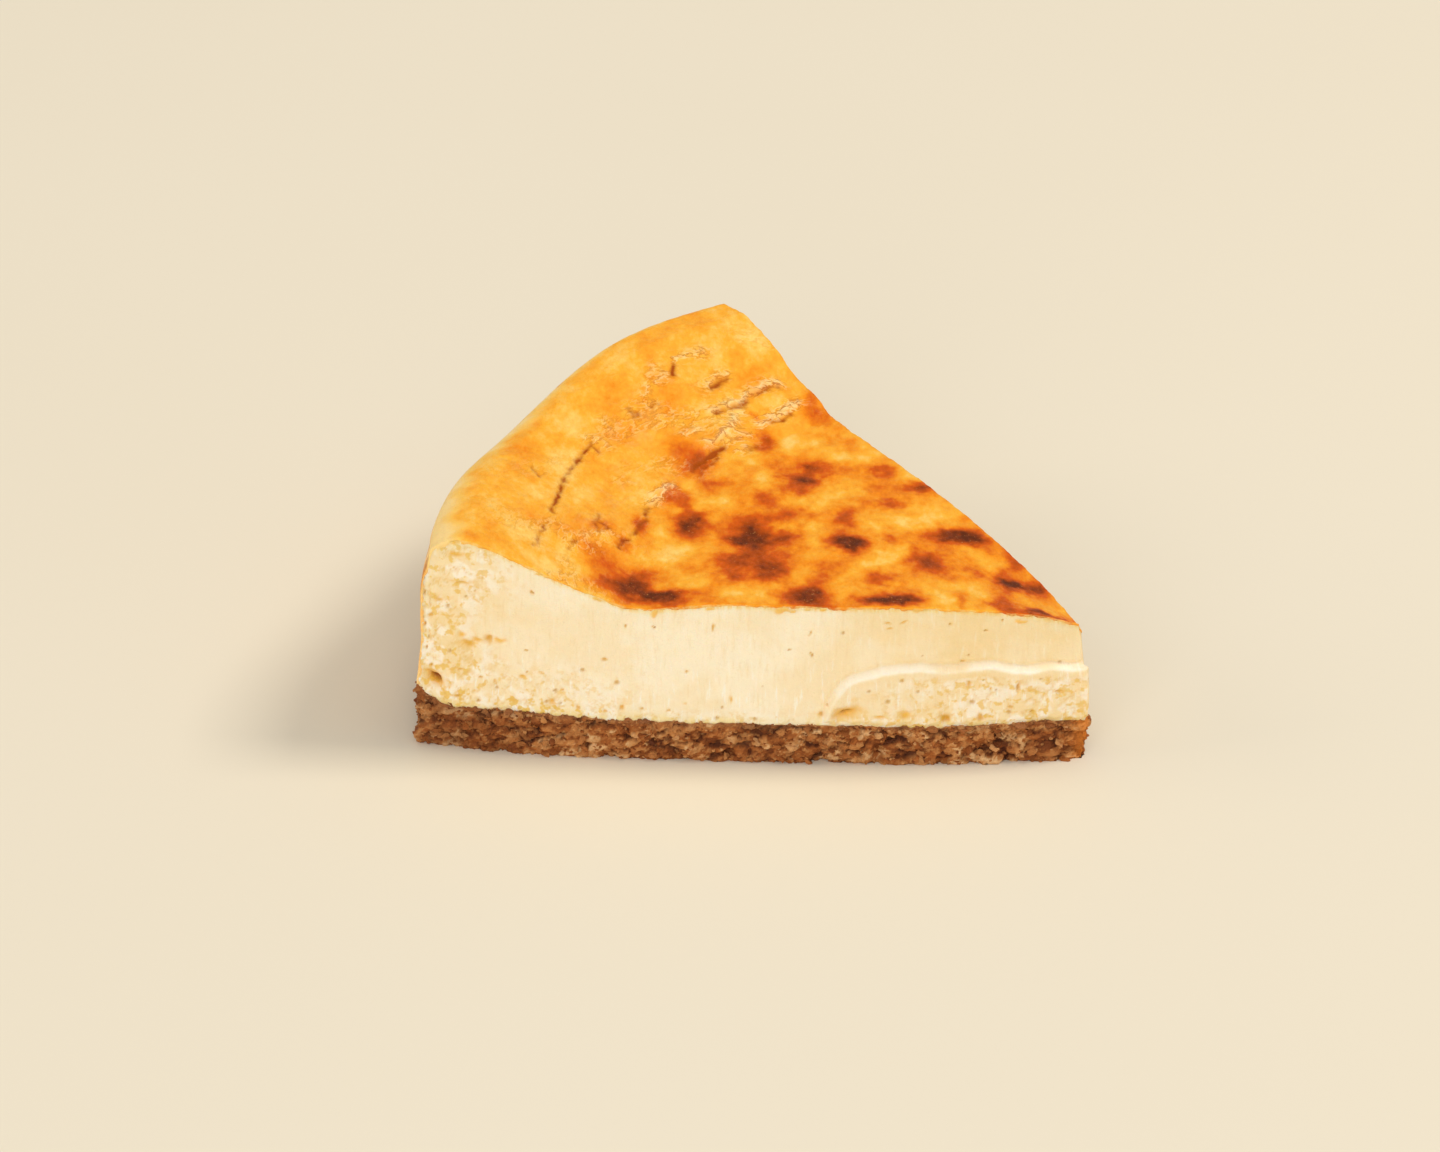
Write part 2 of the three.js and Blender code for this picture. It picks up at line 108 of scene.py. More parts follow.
@dataclass(frozen=True)
class Noise:
    """Smooth repeatable noise in -1..1, the same as the solids use.

    Attributes:
        length: Width of the features, in the unit of the points.
        seed: Which noise it is.
    """

    length: float
    seed: int

    def _corner(self, i: Array, j: Array, k: Array) -> Array:
        """Repeatable number in 0..1 for each lattice point.

        Args:
            i: Lattice numbers along X.
            j: Lattice numbers along Y.
            k: Lattice numbers along Z.

        Returns:
            The numbers, in the shape of i.
        """
        primes = [np.uint32(prime) for prime in HASH_PRIMES]
        i, j, k = ((c & HASH_BITS).astype(np.uint32) for c in (i, j, k))
        own = np.array([(self.seed + 1) * HASH_PRIMES[3] & HASH_BITS], np.int64).astype(np.uint32)
        h = (i * primes[0]) ^ (j * primes[1]) ^ (k * primes[2]) ^ own
        h = (h ^ (h >> np.uint32(13))) * primes[3]
        h = (h ^ (h >> np.uint32(16))) * primes[1]
        return (h ^ (h >> np.uint32(15))).astype(float) / (HASH_BITS + 1.0)

    def at(self, x: Array, y: Array, z: Array = 0.0) -> Array:
        """Noise at points.

        Args:
            x: First coordinates.
            y: Second coordinates.
            z: Third coordinates.

        Returns:
            Values in -1..1, in the shape of the coordinates.
        """
        axes = np.broadcast_arrays(*(np.asarray(a, float) / self.length for a in (x, y, z)))
        cells = [np.floor(a).astype(np.int64) for a in axes]
        shares = [ease(a - c, 0.0, 1.0) for a, c in zip(axes, cells)]
        total = np.zeros(axes[0].shape)
        for corner in range(8):
            steps = (corner & 1, (corner >> 1) & 1, corner >> 2)
            weight = np.ones(axes[0].shape)
            for step, share in zip(steps, shares):
                weight = weight * (share if step else 1.0 - share)
            total += weight * self._corner(*(c + s for c, s in zip(cells, steps)))
        return 2.0 * total - 1.0

    def octaves(self, x: Array, y: Array, z: Array = 0.0, count: int = 3, keep: float = 0.5) -> Array:
        """Noise with finer and weaker layers added to it.

        Args:
            x: First coordinates.
            y: Second coordinates.
            z: Third coordinates.
            count: Number of layers.
            keep: Strength of each layer as a share of the one before.

        Returns:
            Values in about -1..1.
        """
        total = 0.0
        strength = 0.0
        for octave in range(count):
            layer = Noise(self.length / 2**octave, self.seed + 17 * octave)
            total = total + keep**octave * layer.at(x, y, z)
            strength += keep**octave
        return total / strength * 1.3


# What shows on the skin and on the front cut


class Side(Enum):
    """The four sides of the wedge's outline."""

    FRONT = 0
    TIP = 1
    BACK = 2
    RIM = 3


@dataclass(frozen=True)
class Blister:
    """A raised or sunken spot of the skin.

    Attributes:
        radius: Distance from the cake's middle.
        turn: Share of the wedge's angle.
        width: Spread of the spot.
        height: Height of a raised spot, or depth of a sunken one as a negative height.
    """

    radius: float
    turn: float
    width: float
    height: float


@dataclass(frozen=True)
class Fold:
    """A ridge or crack of the skin along a line.

    Attributes:
        line: Places the line goes through, as radius and angle in degrees.
        width: Half width across the line.
        height: Height of a ridge, or depth of a crack as a negative height.
        pale: How strong the painted highlight along a ridge's crest is.
        dark: How strong the painted shade along a crack's bottom is.
    """

    line: tuple[tuple[float, float], ...]
    width: float
    height: float
    pale: float = 0.0
    dark: float = 0.0


@dataclass(frozen=True)
class Scorch:
    """A spot that the oven's heat browned, or left pale where its strength is negative.

    Attributes:
        radius: Distance from the cake's middle.
        angle: Angle from the front cut, in degrees.
        wide: Half width along X.
        deep: Half width along Y.
        strength: How much browner it is than the skin round it.
    """

    radius: float
    angle: float
    wide: float
    deep: float
    strength: float


@dataclass(frozen=True)
class Hole:
    """A hole, slot or pit in the front cut, or in the base's front side.

    Attributes:
        along: Distance from the tip.
        height: Height over the underside.
        wide: Half width along the cut.
        tall: Half height.
        depth: How deep it is.
        brown: How much painted shade darkens its deepest part, rather than ochre.
        tilt: How far its wide axis is turned up towards the rim, in degrees.
    """

    along: float
    height: float
    wide: float
    tall: float
    depth: float
    brown: float = 0.0
    tilt: float = 0.0

    def shape(self, along: Array, height: Array) -> Array:
        """Depth at places of the cut, as a share of the deepest.

        Args:
            along: The places' distances from the tip.
            height: The places' heights.

        Returns:
            Shares in 0..1.
        """
        far, up = along - self.along, height - self.height
        cosine, sine = math.cos(math.radians(self.tilt)), math.sin(math.radians(self.tilt))
        reach = np.hypot((far * cosine + up * sine) / self.wide, (up * cosine - far * sine) / self.tall)
        return np.exp(-(reach**2.6))


def features(kind: type, *rows: tuple[Any, ...]) -> tuple[Any, ...]:
    """Makes one feature of a kind from each row of its sizes."""
    return tuple(kind(*row) for row in rows)


BLISTERS = features(
    Blister,
    (86.7, 0.76, 3.4, 1.0), (88.2, 0.68, 3.0, 0.8), (84.0, 0.48, 3.2, 0.9), (98.1, 0.51, 3.6, 0.6),
    (92.3, 0.93, 3.8, 0.6), (86.5, 0.99, 2.6, 0.5), (63.0, 0.38, 5.5, -0.6), (69.2, 0.77, 4.2, -0.5),
)

FOLDS = features(
    Fold,
    (((103.4, 44.8), (103.0, 46.6), (102.3, 48.4)), 0.45, 0.4, 0.5),
    (((102.5, 44.3), (101.0, 43.1)), 0.5, -0.25, 0.0, 0.7),
    (((102.1, 42.5), (100.8, 42.0), (100.6, 40.8)), 0.4, 0.3, 0.35),
    (((103.7, 42.3), (102.3, 40.8)), 0.4, 0.25, 0.25),
    (((96.1, 45.2), (96.8, 47.0), (96.8, 48.4)), 0.4, 0.35, 0.45),
    (((95.4, 45.7), (95.5, 46.9), (95.6, 48.1)), 0.45, -0.3, 0.0, 0.6),
    (((91.5, 42.4), (91.4, 44.4), (91.1, 47.4), (92.1, 48.9), (91.6, 53.1)), 0.5, 0.65, 0.9),
    (((90.6, 43.0), (90.3, 46.5), (91.2, 49.0), (91.0, 52.5)), 0.45, -0.4, 0.0, 0.5),
    (((89.4, 46.4), (88.6, 44.6), (86.1, 42.2), (85.8, 40.1), (85.8, 38.5)), 0.65, 0.55, 0.95),
    (((85.9, 47.0), (86.1, 48.5), (86.4, 50.9), (86.6, 53.5)), 0.5, 0.55, 0.85),
    (((85.0, 48.9), (85.0, 50.4), (85.2, 51.7)), 0.5, -0.3, 0.0, 0.8),
    (((85.0, 42.8), (85.1, 44.5)), 0.4, 0.35, 0.5), (((81.9, 41.1), (82.1, 42.7)), 0.4, 0.35, 0.4),
    (((84.2, 40.7), (83.5, 42.8)), 0.4, 0.3, 0.4),
    (((83.3, 33.4), (84.0, 34.9), (84.1, 36.6), (83.7, 38.4), (83.6, 40.1)), 0.5, -0.5, 0.0, 1.0),
    (((81.9, 33.0), (82.8, 35.5), (82.9, 38.0)), 0.4, -0.25, 0.0, 0.5),
    (((81.6, 42.9), (81.3, 44.9), (81.6, 46.2)), 0.6, -0.25, 0.0, 0.55),
    (((101.1, 39.7), (99.7, 38.2)), 0.35, 0.3, 0.4), (((98.4, 37.4), (97.8, 38.3)), 0.35, 0.3, 0.4),
    (((97.5, 37.4), (97.4, 38.7)), 0.35, -0.25, 0.0, 0.4),
    (((99.7, 35.5), (97.8, 35.0), (97.5, 35.8)), 0.45, -0.3, 0.0, 0.6),
    (((101.2, 32.2), (99.4, 31.6), (98.4, 30.9)), 0.35, 0.25, 0.35),
    (((98.8, 29.4), (98.8, 28.2)), 0.35, 0.25, 0.35), (((90.0, 37.4), (89.3, 39.5)), 0.6, 0.35, 0.5),
    (((99.1, 27.6), (98.0, 22.2), (97.3, 18.8), (96.3, 15.1), (95.8, 12.3)), 0.4, -0.4, 0.0, 0.65),
    (((96.1, 10.2), (96.5, 7.5), (96.3, 4.2)), 0.35, -0.35, 0.0, 0.55),
    (((100.4, 28.0), (98.2, 29.2), (96.7, 28.6)), 0.35, 0.25, 0.3),
    (((98.9, 27.4), (96.8, 27.2)), 0.35, -0.25, 0.0, 0.4),
    (((83.7, 23.2), (83.6, 24.7), (83.3, 26.6), (82.9, 28.0)), 0.55, 0.55, 0.95),
    (((83.5, 22.4), (82.6, 19.7), (82.6, 15.8), (83.9, 11.6)), 0.45, -0.4, 0.0, 0.7),
    (((89.5, 16.3), (88.8, 14.1), (87.7, 12.2)), 0.4, -0.35, 0.0, 0.6),
    (((89.6, 10.2), (87.3, 12.3), (85.7, 13.3)), 0.45, 0.4, 0.3),
    (((88.0, 14.3), (86.6, 14.0), (87.4, 12.8)), 0.4, -0.3, 0.0, 0.7),
    (((90.7, 8.8), (91.2, 7.3)), 0.35, -0.25, 0.0, 0.5),
    (((103.2, 19.3), (101.1, 18.1)), 0.35, -0.3, 0.0, 0.5),
    (((100.8, 19.1), (100.8, 18.4)), 0.3, -0.25, 0.0, 0.4),
)

SCORCHES = features(
    Scorch,
    (63.6, 21.6, 3.2, 4.8, 0.75), (61.7, 14.5, 5.4, 5.2, 0.29), (58.3, 23.5, 3.0, 3.0, 0.4),
    (56.6, 11.2, 2.6, 3.0, 0.5), (63.5, 8.1, 2.4, 3.2, 0.35), (46.9, 25.6, 2.3, 2.6, 0.55),
    (46.9, 26.5, 3.8, 4.4, 0.2), (68.3, 42.3, 4.4, 3.6, 0.55), (67.2, 47.1, 3.4, 2.4, 0.25),
    (65.1, 39.2, 2.4, 4.0, 0.25), (77.3, 24.6, 1.9, 4.2, 0.4), (75.3, 20.6, 3.0, 4.2, 0.48),
    (60.3, 53.0, 2.0, 2.6, 0.45), (52.1, 55.1, 2.4, 2.0, 0.5), (35.6, 45.6, 3.8, 2.6, 0.55),
    (31.8, 51.0, 2.6, 2.2, 0.5), (32.8, 28.5, 3.0, 3.8, 0.42), (38.3, 13.9, 2.8, 2.8, 0.4),
    (17.6, 34.7, 1.6, 2.6, 0.5), (16.1, 13.1, 2.2, 5.5, 0.4), (14.4, 50.0, 1.6, 2.0, 0.4),
    (22.7, 54.6, 1.8, 2.8, 0.4), (49.8, 3.9, 3.6, 3.8, 0.6), (72.9, 2.6, 4.6, 2.8, 0.72),
    (79.3, 4.1, 3.4, 3.8, 0.48), (78.4, 7.0, 2.2, 3.6, 0.25), (36.6, 3.0, 3.8, 1.9, 0.6),
    (32.3, 4.3, 2.4, 2.0, 0.45), (23.0, 5.9, 1.2, 3.0, 0.35), (4.3, 10.0, 1.8, 1.2, 0.5),
    (8.6, 5.0, 3.4, 1.3, 0.55), (16.4, 41.5, 2.6, 1.8, 0.34), (83.1, 4.3, 3.0, 5.0, 0.28),
    (87.0, 8.0, 3.2, 3.6, 0.24), (75.6, 8.6, 4.6, 3.6, 0.14), (82.3, 18.1, 1.5, 2.8, 0.4),
    (87.0, 35.2, 2.6, 4.4, 0.24), (83.4, 12.9, 1.2, 2.0, 0.32), (88.2, 13.7, 2.8, 2.6, 0.22),
    (83.8, 35.0, 1.8, 3.2, 0.3), (81.3, 45.0, 1.6, 4.4, 0.36), (68.0, 32.6, 3.4, 3.4, 0.27),
    (82.2, 27.3, 2.3, 3.4, 0.34), (61.4, 31.5, 3.6, 3.0, 0.2), (49.8, 46.4, 4.2, 1.6, 0.32),
    (56.4, 47.5, 2.6, 2.6, 0.18), (52.4, 35.0, 2.0, 3.8, 0.24), (46.7, 10.2, 2.6, 3.2, 0.24),
    (41.7, 31.9, 1.4, 3.2, 0.26), (75.0, 42.3, 2.4, 3.8, 0.2), (78.6, 32.9, 3.0, 2.0, 0.2),
    (82.3, 54.7, 2.4, 2.6, 0.32), (87.5, 55.6, 1.4, 2.0, 0.26), (87.8, 47.5, 1.4, 1.0, 0.3),
    (23.6, 35.7, 4.0, 4.0, 0.2), (105.9, 21.3, 2.6, 2.4, 0.14), (105.0, 17.3, 2.4, 2.6, 0.1),
    (106.0, 37.0, 2.8, 3.0, 0.12), (107.0, 1.0, 1.2, 1.6, 0.2), (73.0, 38.2, 2.4, 3.2, -0.24),
    (60.3, 39.2, 3.6, 4.2, -0.16), (62.6, 46.5, 2.4, 5.0, -0.1), (74.9, 28.2, 3.6, 3.8, -0.14),
    (39.6, 23.4, 3.4, 3.2, -0.18), (42.0, 35.5, 2.6, 2.4, -0.1), (54.0, 26.0, 1.6, 4.0, -0.14),
    (49.3, 19.1, 2.5, 2.5, -0.1), (75.0, 13.7, 3.2, 3.0, -0.14),
)

HOLES = features(
    Hole,
    (113.0, 13.0, 2.2, 1.3, 0.7, 0.0, 39.0), (113.0, 12.9, 1.5, 0.65, 1.5, 1.0, 39.0),
    (103.9, 21.5, 0.75, 0.7, 0.7, 0.2), (105.6, 21.0, 0.9, 0.6, 0.4, 0.05),
    (107.2, 20.3, 1.2, 0.7, 0.5, 0.15), (101.9, 21.4, 1.0, 0.45, 0.35, 0.0), (108.2, 21.9, 0.7, 0.4, 0.3),
    (109.2, 37.0, 1.5, 0.4, 0.4, 0.05), (108.8, 31.9, 1.6, 0.32, 0.35, 0.1),
    (112.4, 28.1, 0.9, 0.38, 0.35, 0.1), (113.9, 24.9, 0.6, 0.45, 0.4, 0.15),
    (115.1, 23.4, 0.4, 0.4, 0.5, 0.4), (104.8, 33.1, 0.22, 0.2, 0.3, 0.6),
    (106.4, 30.3, 0.25, 0.2, 0.3, 0.4), (99.7, 35.9, 0.2, 0.2, 0.3, 0.6),
    (96.4, 31.0, 0.33, 0.3, 0.4, 0.5), (113.6, 15.4, 0.3, 0.3, 0.4, 0.3),
    (110.6, 16.3, 0.25, 0.2, 0.3, 0.2), (108.9, 15.4, 0.7, 0.18, 0.3, 0.15),
    (105.0, 14.2, 0.4, 0.2, 0.3, 0.3, 30.0), (102.4, 13.3, 0.2, 0.6, 0.3, 0.2),
    (97.9, 14.8, 0.5, 0.5, 0.4, 0.1), (97.2, 15.7, 0.2, 0.2, 0.3, 0.3), (108.9, 10.1, 0.6, 0.3, 0.5, 0.3),
    (105.3, 9.7, 0.45, 0.3, 0.5, 0.5), (106.1, 11.6, 0.2, 0.2, 0.3, 0.2),
    (92.8, 10.2, 0.6, 0.5, 0.6, 0.1), (97.5, 19.7, 0.3, 0.18, 0.25, 0.3),
    (94.7, 15.9, 0.6, 0.18, 0.25, 0.1), (91.2, 12.8, 0.25, 0.25, 0.3, 0.2),
    (88.3, 9.4, 0.3, 0.6, 0.4, 0.1), (84.0, 19.1, 0.4, 0.3, 0.4, 0.3), (83.6, 9.0, 0.3, 0.3, 0.4, 0.2),
    (80.6, 10.0, 0.4, 0.5, 0.5, 0.15), (80.4, 25.6, 0.18, 0.4, 0.3, 0.3),
    (77.4, 9.6, 0.35, 0.25, 0.4, 0.2), (75.6, 25.5, 0.22, 0.22, 0.35, 0.8),
    (72.7, 9.8, 0.35, 0.25, 0.4, 0.2), (70.1, 11.0, 0.4, 0.2, 0.3, 0.1),
    (70.0, 17.2, 0.33, 0.25, 0.35, 0.3), (65.4, 25.7, 0.15, 0.7, 0.25, 0.2),
    (62.2, 11.9, 0.25, 0.6, 0.25, 0.05), (52.5, 21.9, 0.25, 0.2, 0.3, 0.8),
    (48.8, 25.0, 0.18, 0.6, 0.3, 0.3, 20.0), (48.6, 21.0, 0.2, 0.4, 0.3, 0.4),
    (42.3, 10.1, 2.3, 1.35, 1.2, 0.0, -20.0), (42.6, 10.0, 1.4, 0.36, 0.8, 0.5, -25.0),
    (46.8, 9.6, 0.4, 0.6, 0.6, 0.25), (45.7, 11.4, 0.25, 0.25, 0.3, 0.3), (36.7, 9.5, 0.8, 0.4, 0.5),
    (32.2, 10.0, 1.0, 0.8, 0.4), (25.3, 9.1, 0.8, 1.0, 1.0, 0.25), (19.4, 9.2, 0.5, 0.8, 0.7, 0.2),
    (20.9, 7.9, 0.3, 0.4, 0.4, 0.3), (13.0, 15.0, 0.28, 0.9, 0.7, 0.35),
    (21.6, 16.1, 0.4, 0.6, 0.5, 0.15), (5.7, 13.9, 0.6, 0.3, 0.5, 0.15), (14.3, 11.2, 0.4, 0.4, 0.4, 0.1),
    (10.7, 10.2, 0.3, 0.3, 0.4, 0.15), (17.6, 14.9, 0.3, 0.25, 0.3, 0.1),
    (24.7, 27.0, 0.25, 0.3, 0.4, 0.6), (18.6, 25.8, 0.3, 0.2, 0.3, 0.7), (15.7, 27.7, 0.2, 0.2, 0.3, 0.5),
    (22.5, 19.9, 0.5, 0.2, 0.4, 0.3), (35.7, 27.0, 0.6, 0.2, 0.3, 0.1, 15.0),
    (32.9, 27.2, 0.6, 0.2, 0.3, 0.1, -15.0), (35.3, 26.1, 0.6, 0.18, 0.25, 0.1),
)

CRUMBLES = features(
    Hole,
    (53.7, 29.5, 1.7, 0.7, -0.4), (51.9, 29.2, 0.7, 0.4, -0.3), (47.1, 29.8, 1.1, 0.5, -0.35),
    (49.6, 29.9, 0.6, 0.35, -0.3), (75.7, 28.6, 0.7, 1.1, -0.25), (66.0, 29.4, 0.9, 0.5, -0.25),
    (30.0, 29.7, 1.6, 0.45, -0.3), (12.0, 27.2, 1.2, 0.45, -0.3), (85.3, 30.6, 0.8, 0.5, -0.3),
    (95.0, 34.6, 1.0, 0.45, -0.25), (110.0, 39.4, 1.4, 0.5, -0.25),
)

NOTCHES = features(
    Hole,
    (101.7, 0.9, 1.2, 0.9, 1.0), (91.3, 1.0, 1.0, 0.9, 1.0), (83.5, 0.4, 1.6, 0.8, 0.9),
    (71.0, 0.3, 1.4, 0.7, 0.8), (62.1, 1.1, 1.1, 1.1, 1.2), (46.7, 0.9, 1.3, 0.9, 1.0),
    (36.6, 1.6, 1.0, 2.0, 1.6), (25.0, 0.4, 1.3, 0.7, 0.8), (13.5, 0.5, 1.0, 0.7, 0.7),
)

LIP_LINE = (
    (45.8, 8.0), (45.1, 11.2), (44.3, 13.0), (42.8, 15.0), (41.3, 16.4), (38.5, 17.3), (36.6, 18.0),
    (33.1, 18.5), (30.3, 18.8), (26.8, 18.5), (23.6, 18.2), (20.5, 18.8), (17.3, 18.8), (14.1, 18.1),
    (11.0, 17.8), (7.0, 18.1), (0.0, 17.8),
)


@dataclass(frozen=True)
class WedgeForm:
    """Form of the wedge that all its pieces share, with the same sizes as the solids."""

    cake_radius: float = 116.0
    wedge_angle: float = math.radians(56.0)
    tip_radius: float = 1.3
    front_bow: float = 4.4
    back_bow: float = 0.5
    bow_power: float = 3.0
    back_draw: float = 2.3
    back_draw_start: float = 86.0
    back_draw_power: float = 1.5
    middle: tuple[float, float] = (-58.336, 44.874)

    top_height_front: float = 30.4
    top_height_back: float = 30.9
    tip_droop_front: float = 5.2
    tip_droop_front_reach: float = 12.0
    tip_droop_back: float = 7.4
    tip_droop_back_reach: float = 27.0
    tip_droop_back_power: float = 1.25
    rim_start: float = 81.0
    rim_rise: float = 9.5
    rim_rise_back: float = 1.4
    rim_rise_back_turns: tuple[float, float] = (0.55, 0.8)
    rim_rounding: float = 0.35
    rim_sag: float = 2.3
    rim_sag_angle: float = math.radians(24.0)
    rim_sag_spread: float = math.radians(9.0)
    foot_dip: float = 1.3
    foot_dip_radius: float = 77.0
    foot_dip_spread: float = 6.0
    shoulder_front: float = 8.0
    shoulder_back: float = 3.5
    shoulder_turns: tuple[float, float] = (0.45, 0.9)
    rim_lean: float = 1.1
    tip_lean: float = 2.2
    tip_lean_reach: float = 14.0

    swell: float = 0.45
    wrinkle: float = 0.55
    wrinkle_radius: float = 90.0
    wrinkle_spread: float = 11.0
    cut_wave: float = 0.3
    rim_roughness: float = 0.45
    fold_width: float = 1.0
    fold_height: float = 0.55
    pucker: float = 0.22
    pucker_radius: float = 89.0
    pucker_spread: float = 9.0
    grain: float = 0.05
    rim_reach: float = 2.5

    ledge_length: float = 45.5
    ledge_foot: float = 8.0
    ledge_proud: float = 1.3
    ledge_roll: float = 0.6

    base_height: float = 7.3
    base_tip_rise: float = 0.5
    base_tip_reach: float = 16.0
    base_outer_rise: float = 0.8
    base_outer_radii: tuple[float, float] = (60.0, 105.0)
    base_curl: float = 3.6
    base_curl_width: float = 7.0
    layer_uneven: float = 0.35
    layer_ragged: float = 0.28

    def plan(self, radius: Array, turn: Array) -> tuple[Array, Array]:
        """Plan position of places, before relief, from the cake's middle.

        Args:
            radius: The places' radii.
            turn: The places' turns.

        Returns:
            Positions along X and along Y.
        """
        angle = self.wedge_angle * turn
        bow = 1.0 - np.abs(2.0 * radius / self.cake_radius - 1.0) ** self.bow_power
        front = self.front_bow * bow * (1.0 - turn) ** 3
        outer = clamp((radius - self.back_draw_start) / (self.cake_radius - self.back_draw_start))
        back = (self.back_bow * bow - self.back_draw * outer**self.back_draw_power) * turn**3
        x = -radius * np.cos(angle) + back * math.sin(self.wedge_angle)
        y = radius * np.sin(angle) - front + back * math.cos(self.wedge_angle)
        return x, y

    def outward(self, radius: Array, side: Side) -> tuple[Array, Array]:
        """Direction that a cut face looks in, level, at a radius.

        Args:
            radius: The places' radii.
            side: Which cut it is.

        Returns:
            The parts of the direction along X and along Y.
        """
        step = 0.5
        turn = 0.0 if side is Side.FRONT else 1.0
        outer = self.plan(radius + step, turn)
        inner = self.plan(np.maximum(radius - step, 0.0), turn)
        sign = -1.0 if side is Side.FRONT else 1.0
        travel_x = sign * (outer[0] - inner[0])
        travel_y = sign * (outer[1] - inner[1])
        length = np.hypot(travel_x, travel_y)
        return travel_y / length, -travel_x / length

    def polar(self, radius: float, degrees: float) -> tuple[float, float]:
        """Plan position of a feature that was measured as radius and angle."""
        x, y = self.plan(np.array(radius), np.array(math.radians(degrees) / self.wedge_angle))
        return float(x), float(y)

    def rimward(self, turn: Array, reach: Array) -> tuple[Array, Array]:
        """Move along X and along Y that takes places a reach towards the rim."""
        return -np.cos(self.wedge_angle * turn) * reach, np.sin(self.wedge_angle * turn) * reach

    def shoulder(self, turn: Array) -> Array:
        """Width of the rounded shoulder round the arc."""
        return lerp(self.shoulder_front, self.shoulder_back, ease(turn, *self.shoulder_turns))

    def top_form(self, radius: Array, turn: Array) -> Array:
        """Height of the top without relief or shoulder.

        Args:
            radius: The places' radii.
            turn: The places' turns.

        Returns:
            Heights over the underside.
        """
        droop_front = self.tip_droop_front * np.exp(-radius / self.tip_droop_front_reach)
        reach = radius / self.tip_droop_back_reach
        droop_back = self.tip_droop_back * np.exp(-(reach**self.tip_droop_back_power))
        dip = self.foot_dip * bell(radius - self.foot_dip_radius, self.foot_dip_spread)
        rim_end = self.cake_radius - self.shoulder_front
        share = clamp((radius - self.rim_start) / (rim_end - self.rim_start))
        ramp = lerp(share, ease(share, 0.0, 1.0), self.rim_rounding)
        rise = self.rim_rise + self.rim_rise_back * ease(turn, *self.rim_rise_back_turns)
        sag = bell(self.wedge_angle * turn - self.rim_sag_angle, self.rim_sag_spread)
        rise = rise - self.rim_sag * sag
        flat = lerp(self.top_height_front, self.top_height_back, turn)
        return flat - lerp(droop_front, droop_back, turn) - dip * (1.0 - turn) ** 2 + rise * ramp

    def fold_fields(self, x: Array, y: Array) -> tuple[Array, Array, Array, Array]:
        """Height, painted highlight on crests, painted shade in cracks, and fine wrinkling that the measured
        folds give.

        Args:
            x: Plan positions.
            y: Plan positions.

        Returns:
            Four arrays in the shape of x.
        """
        height, pale, dark, wrinkled = np.zeros((4, *np.shape(x)))
        bend_x = x + 0.6 * Noise(2.2, 71).octaves(x, y)
        bend_y = y + 0.6 * Noise(2.2, 72).octaves(x, y)
        uneven = np.clip(0.8 + 0.7 * Noise(1.6, 73).octaves(x, y, count=2), 0.3, 1.25)
        for fold in FOLDS:
            points = [self.polar(*place) for place in fold.line]
            nearest = np.full(np.shape(x), 1e9)
            for (ax, ay), (bx, by) in zip(points, points[1:]):
                along = (bend_x - ax) * (bx - ax) + (bend_y - ay) * (by - ay)
                along = clamp(along / ((bx - ax) ** 2 + (by - ay) ** 2))
                gap = np.hypot(bend_x - lerp(ax, bx, along), bend_y - lerp(ay, by, along))
                nearest = np.minimum(nearest, gap)
            shape = np.exp(-((nearest / (self.fold_width * fold.width)) ** 1.7)) * uneven
            height += self.fold_height * fold.height * shape
            # Painted highlight along the ridges' crests and painted shade along the cracks' bottoms
            pale = np.maximum(pale, fold.pale * shape)
            dark = np.maximum(dark, fold.dark * shape)
            wrinkled = np.maximum(wrinkled, min(1.0, 0.25 + 1.2 * fold.pale) * bell(nearest, 1.3))
        return height, pale, dark, wrinkled

    def pucker_field(self, radius: Array, turn: Array) -> Array:
        """Sharp small ridges that run round the foot of the rim, in 0..1.

        Args:
            radius: The places' radii.
            turn: The places' turns.

        Returns:
            Heights of the ridges in 0..1.
        """
        arc = self.pucker_radius * self.wedge_angle * turn
        bend = 2.2 * Noise(13.0, 61).at(radius, arc)
        ridge = 1.0 - np.abs(Noise(1.0, 62).octaves((radius + bend) / 1.5, arc / 3.5))
        patch = ease(Noise(9.0, 63).at(radius, arc), -0.1, 0.6)
        band = bell(radius - self.pucker_radius - 2.0, self.pucker_spread)
        return clamp(ridge) ** 6 * patch * band

    def skin_relief(self, radius: Array, turn: Array) -> Array:
        """Relief of the browned skin over the top's form.

        Args:
            radius: The places' radii.
            turn: The places' turns.

        Returns:
            Heights over the plain form.
        """
        x, y = self.plan(radius, turn)
        relief = self.swell * Noise(21.0, 11).at(x, y)
        band = bell(radius - self.wrinkle_radius, self.wrinkle_spread)
        relief = relief + self.wrinkle * band * Noise(6.5, 12).at(x, y)
        for blister in BLISTERS:
            middle_x, middle_y = self.plan(np.array(blister.radius), np.array(blister.turn))
            relief = relief + blister.height * bell(np.hypot(x - middle_x, y - middle_y), blister.width)
        relief = relief + self.fold_fields(x, y)[0]
        relief = relief + self.pucker * self.pucker_field(radius, turn)
        relief = relief + 0.1 * Noise(2.6, 64).octaves(x, y, count=2)
        return relief + self.grain * Noise(1.0, 65).at(x, y)

    def top(self, radius: Array, turn: Array, inset: Array = 0.0) -> Array:
        """Height of the filling's top.

        Args:
            radius: The places' radii.
            turn: The places' turns.
            inset: How far below the outer surface, measured square to it.

        Returns:
            Heights over the underside.
        """
        shoulder = self.shoulder(turn)
        over = clamp((radius - (self.cake_radius - shoulder)) / (shoulder - inset))
        fall = (shoulder - inset) * (1.0 - np.sqrt(1.0 - over * over))
        relief = self.skin_relief(radius, turn) * (1.0 - over)
        return self.top_form(radius, turn) + relief - fall - inset

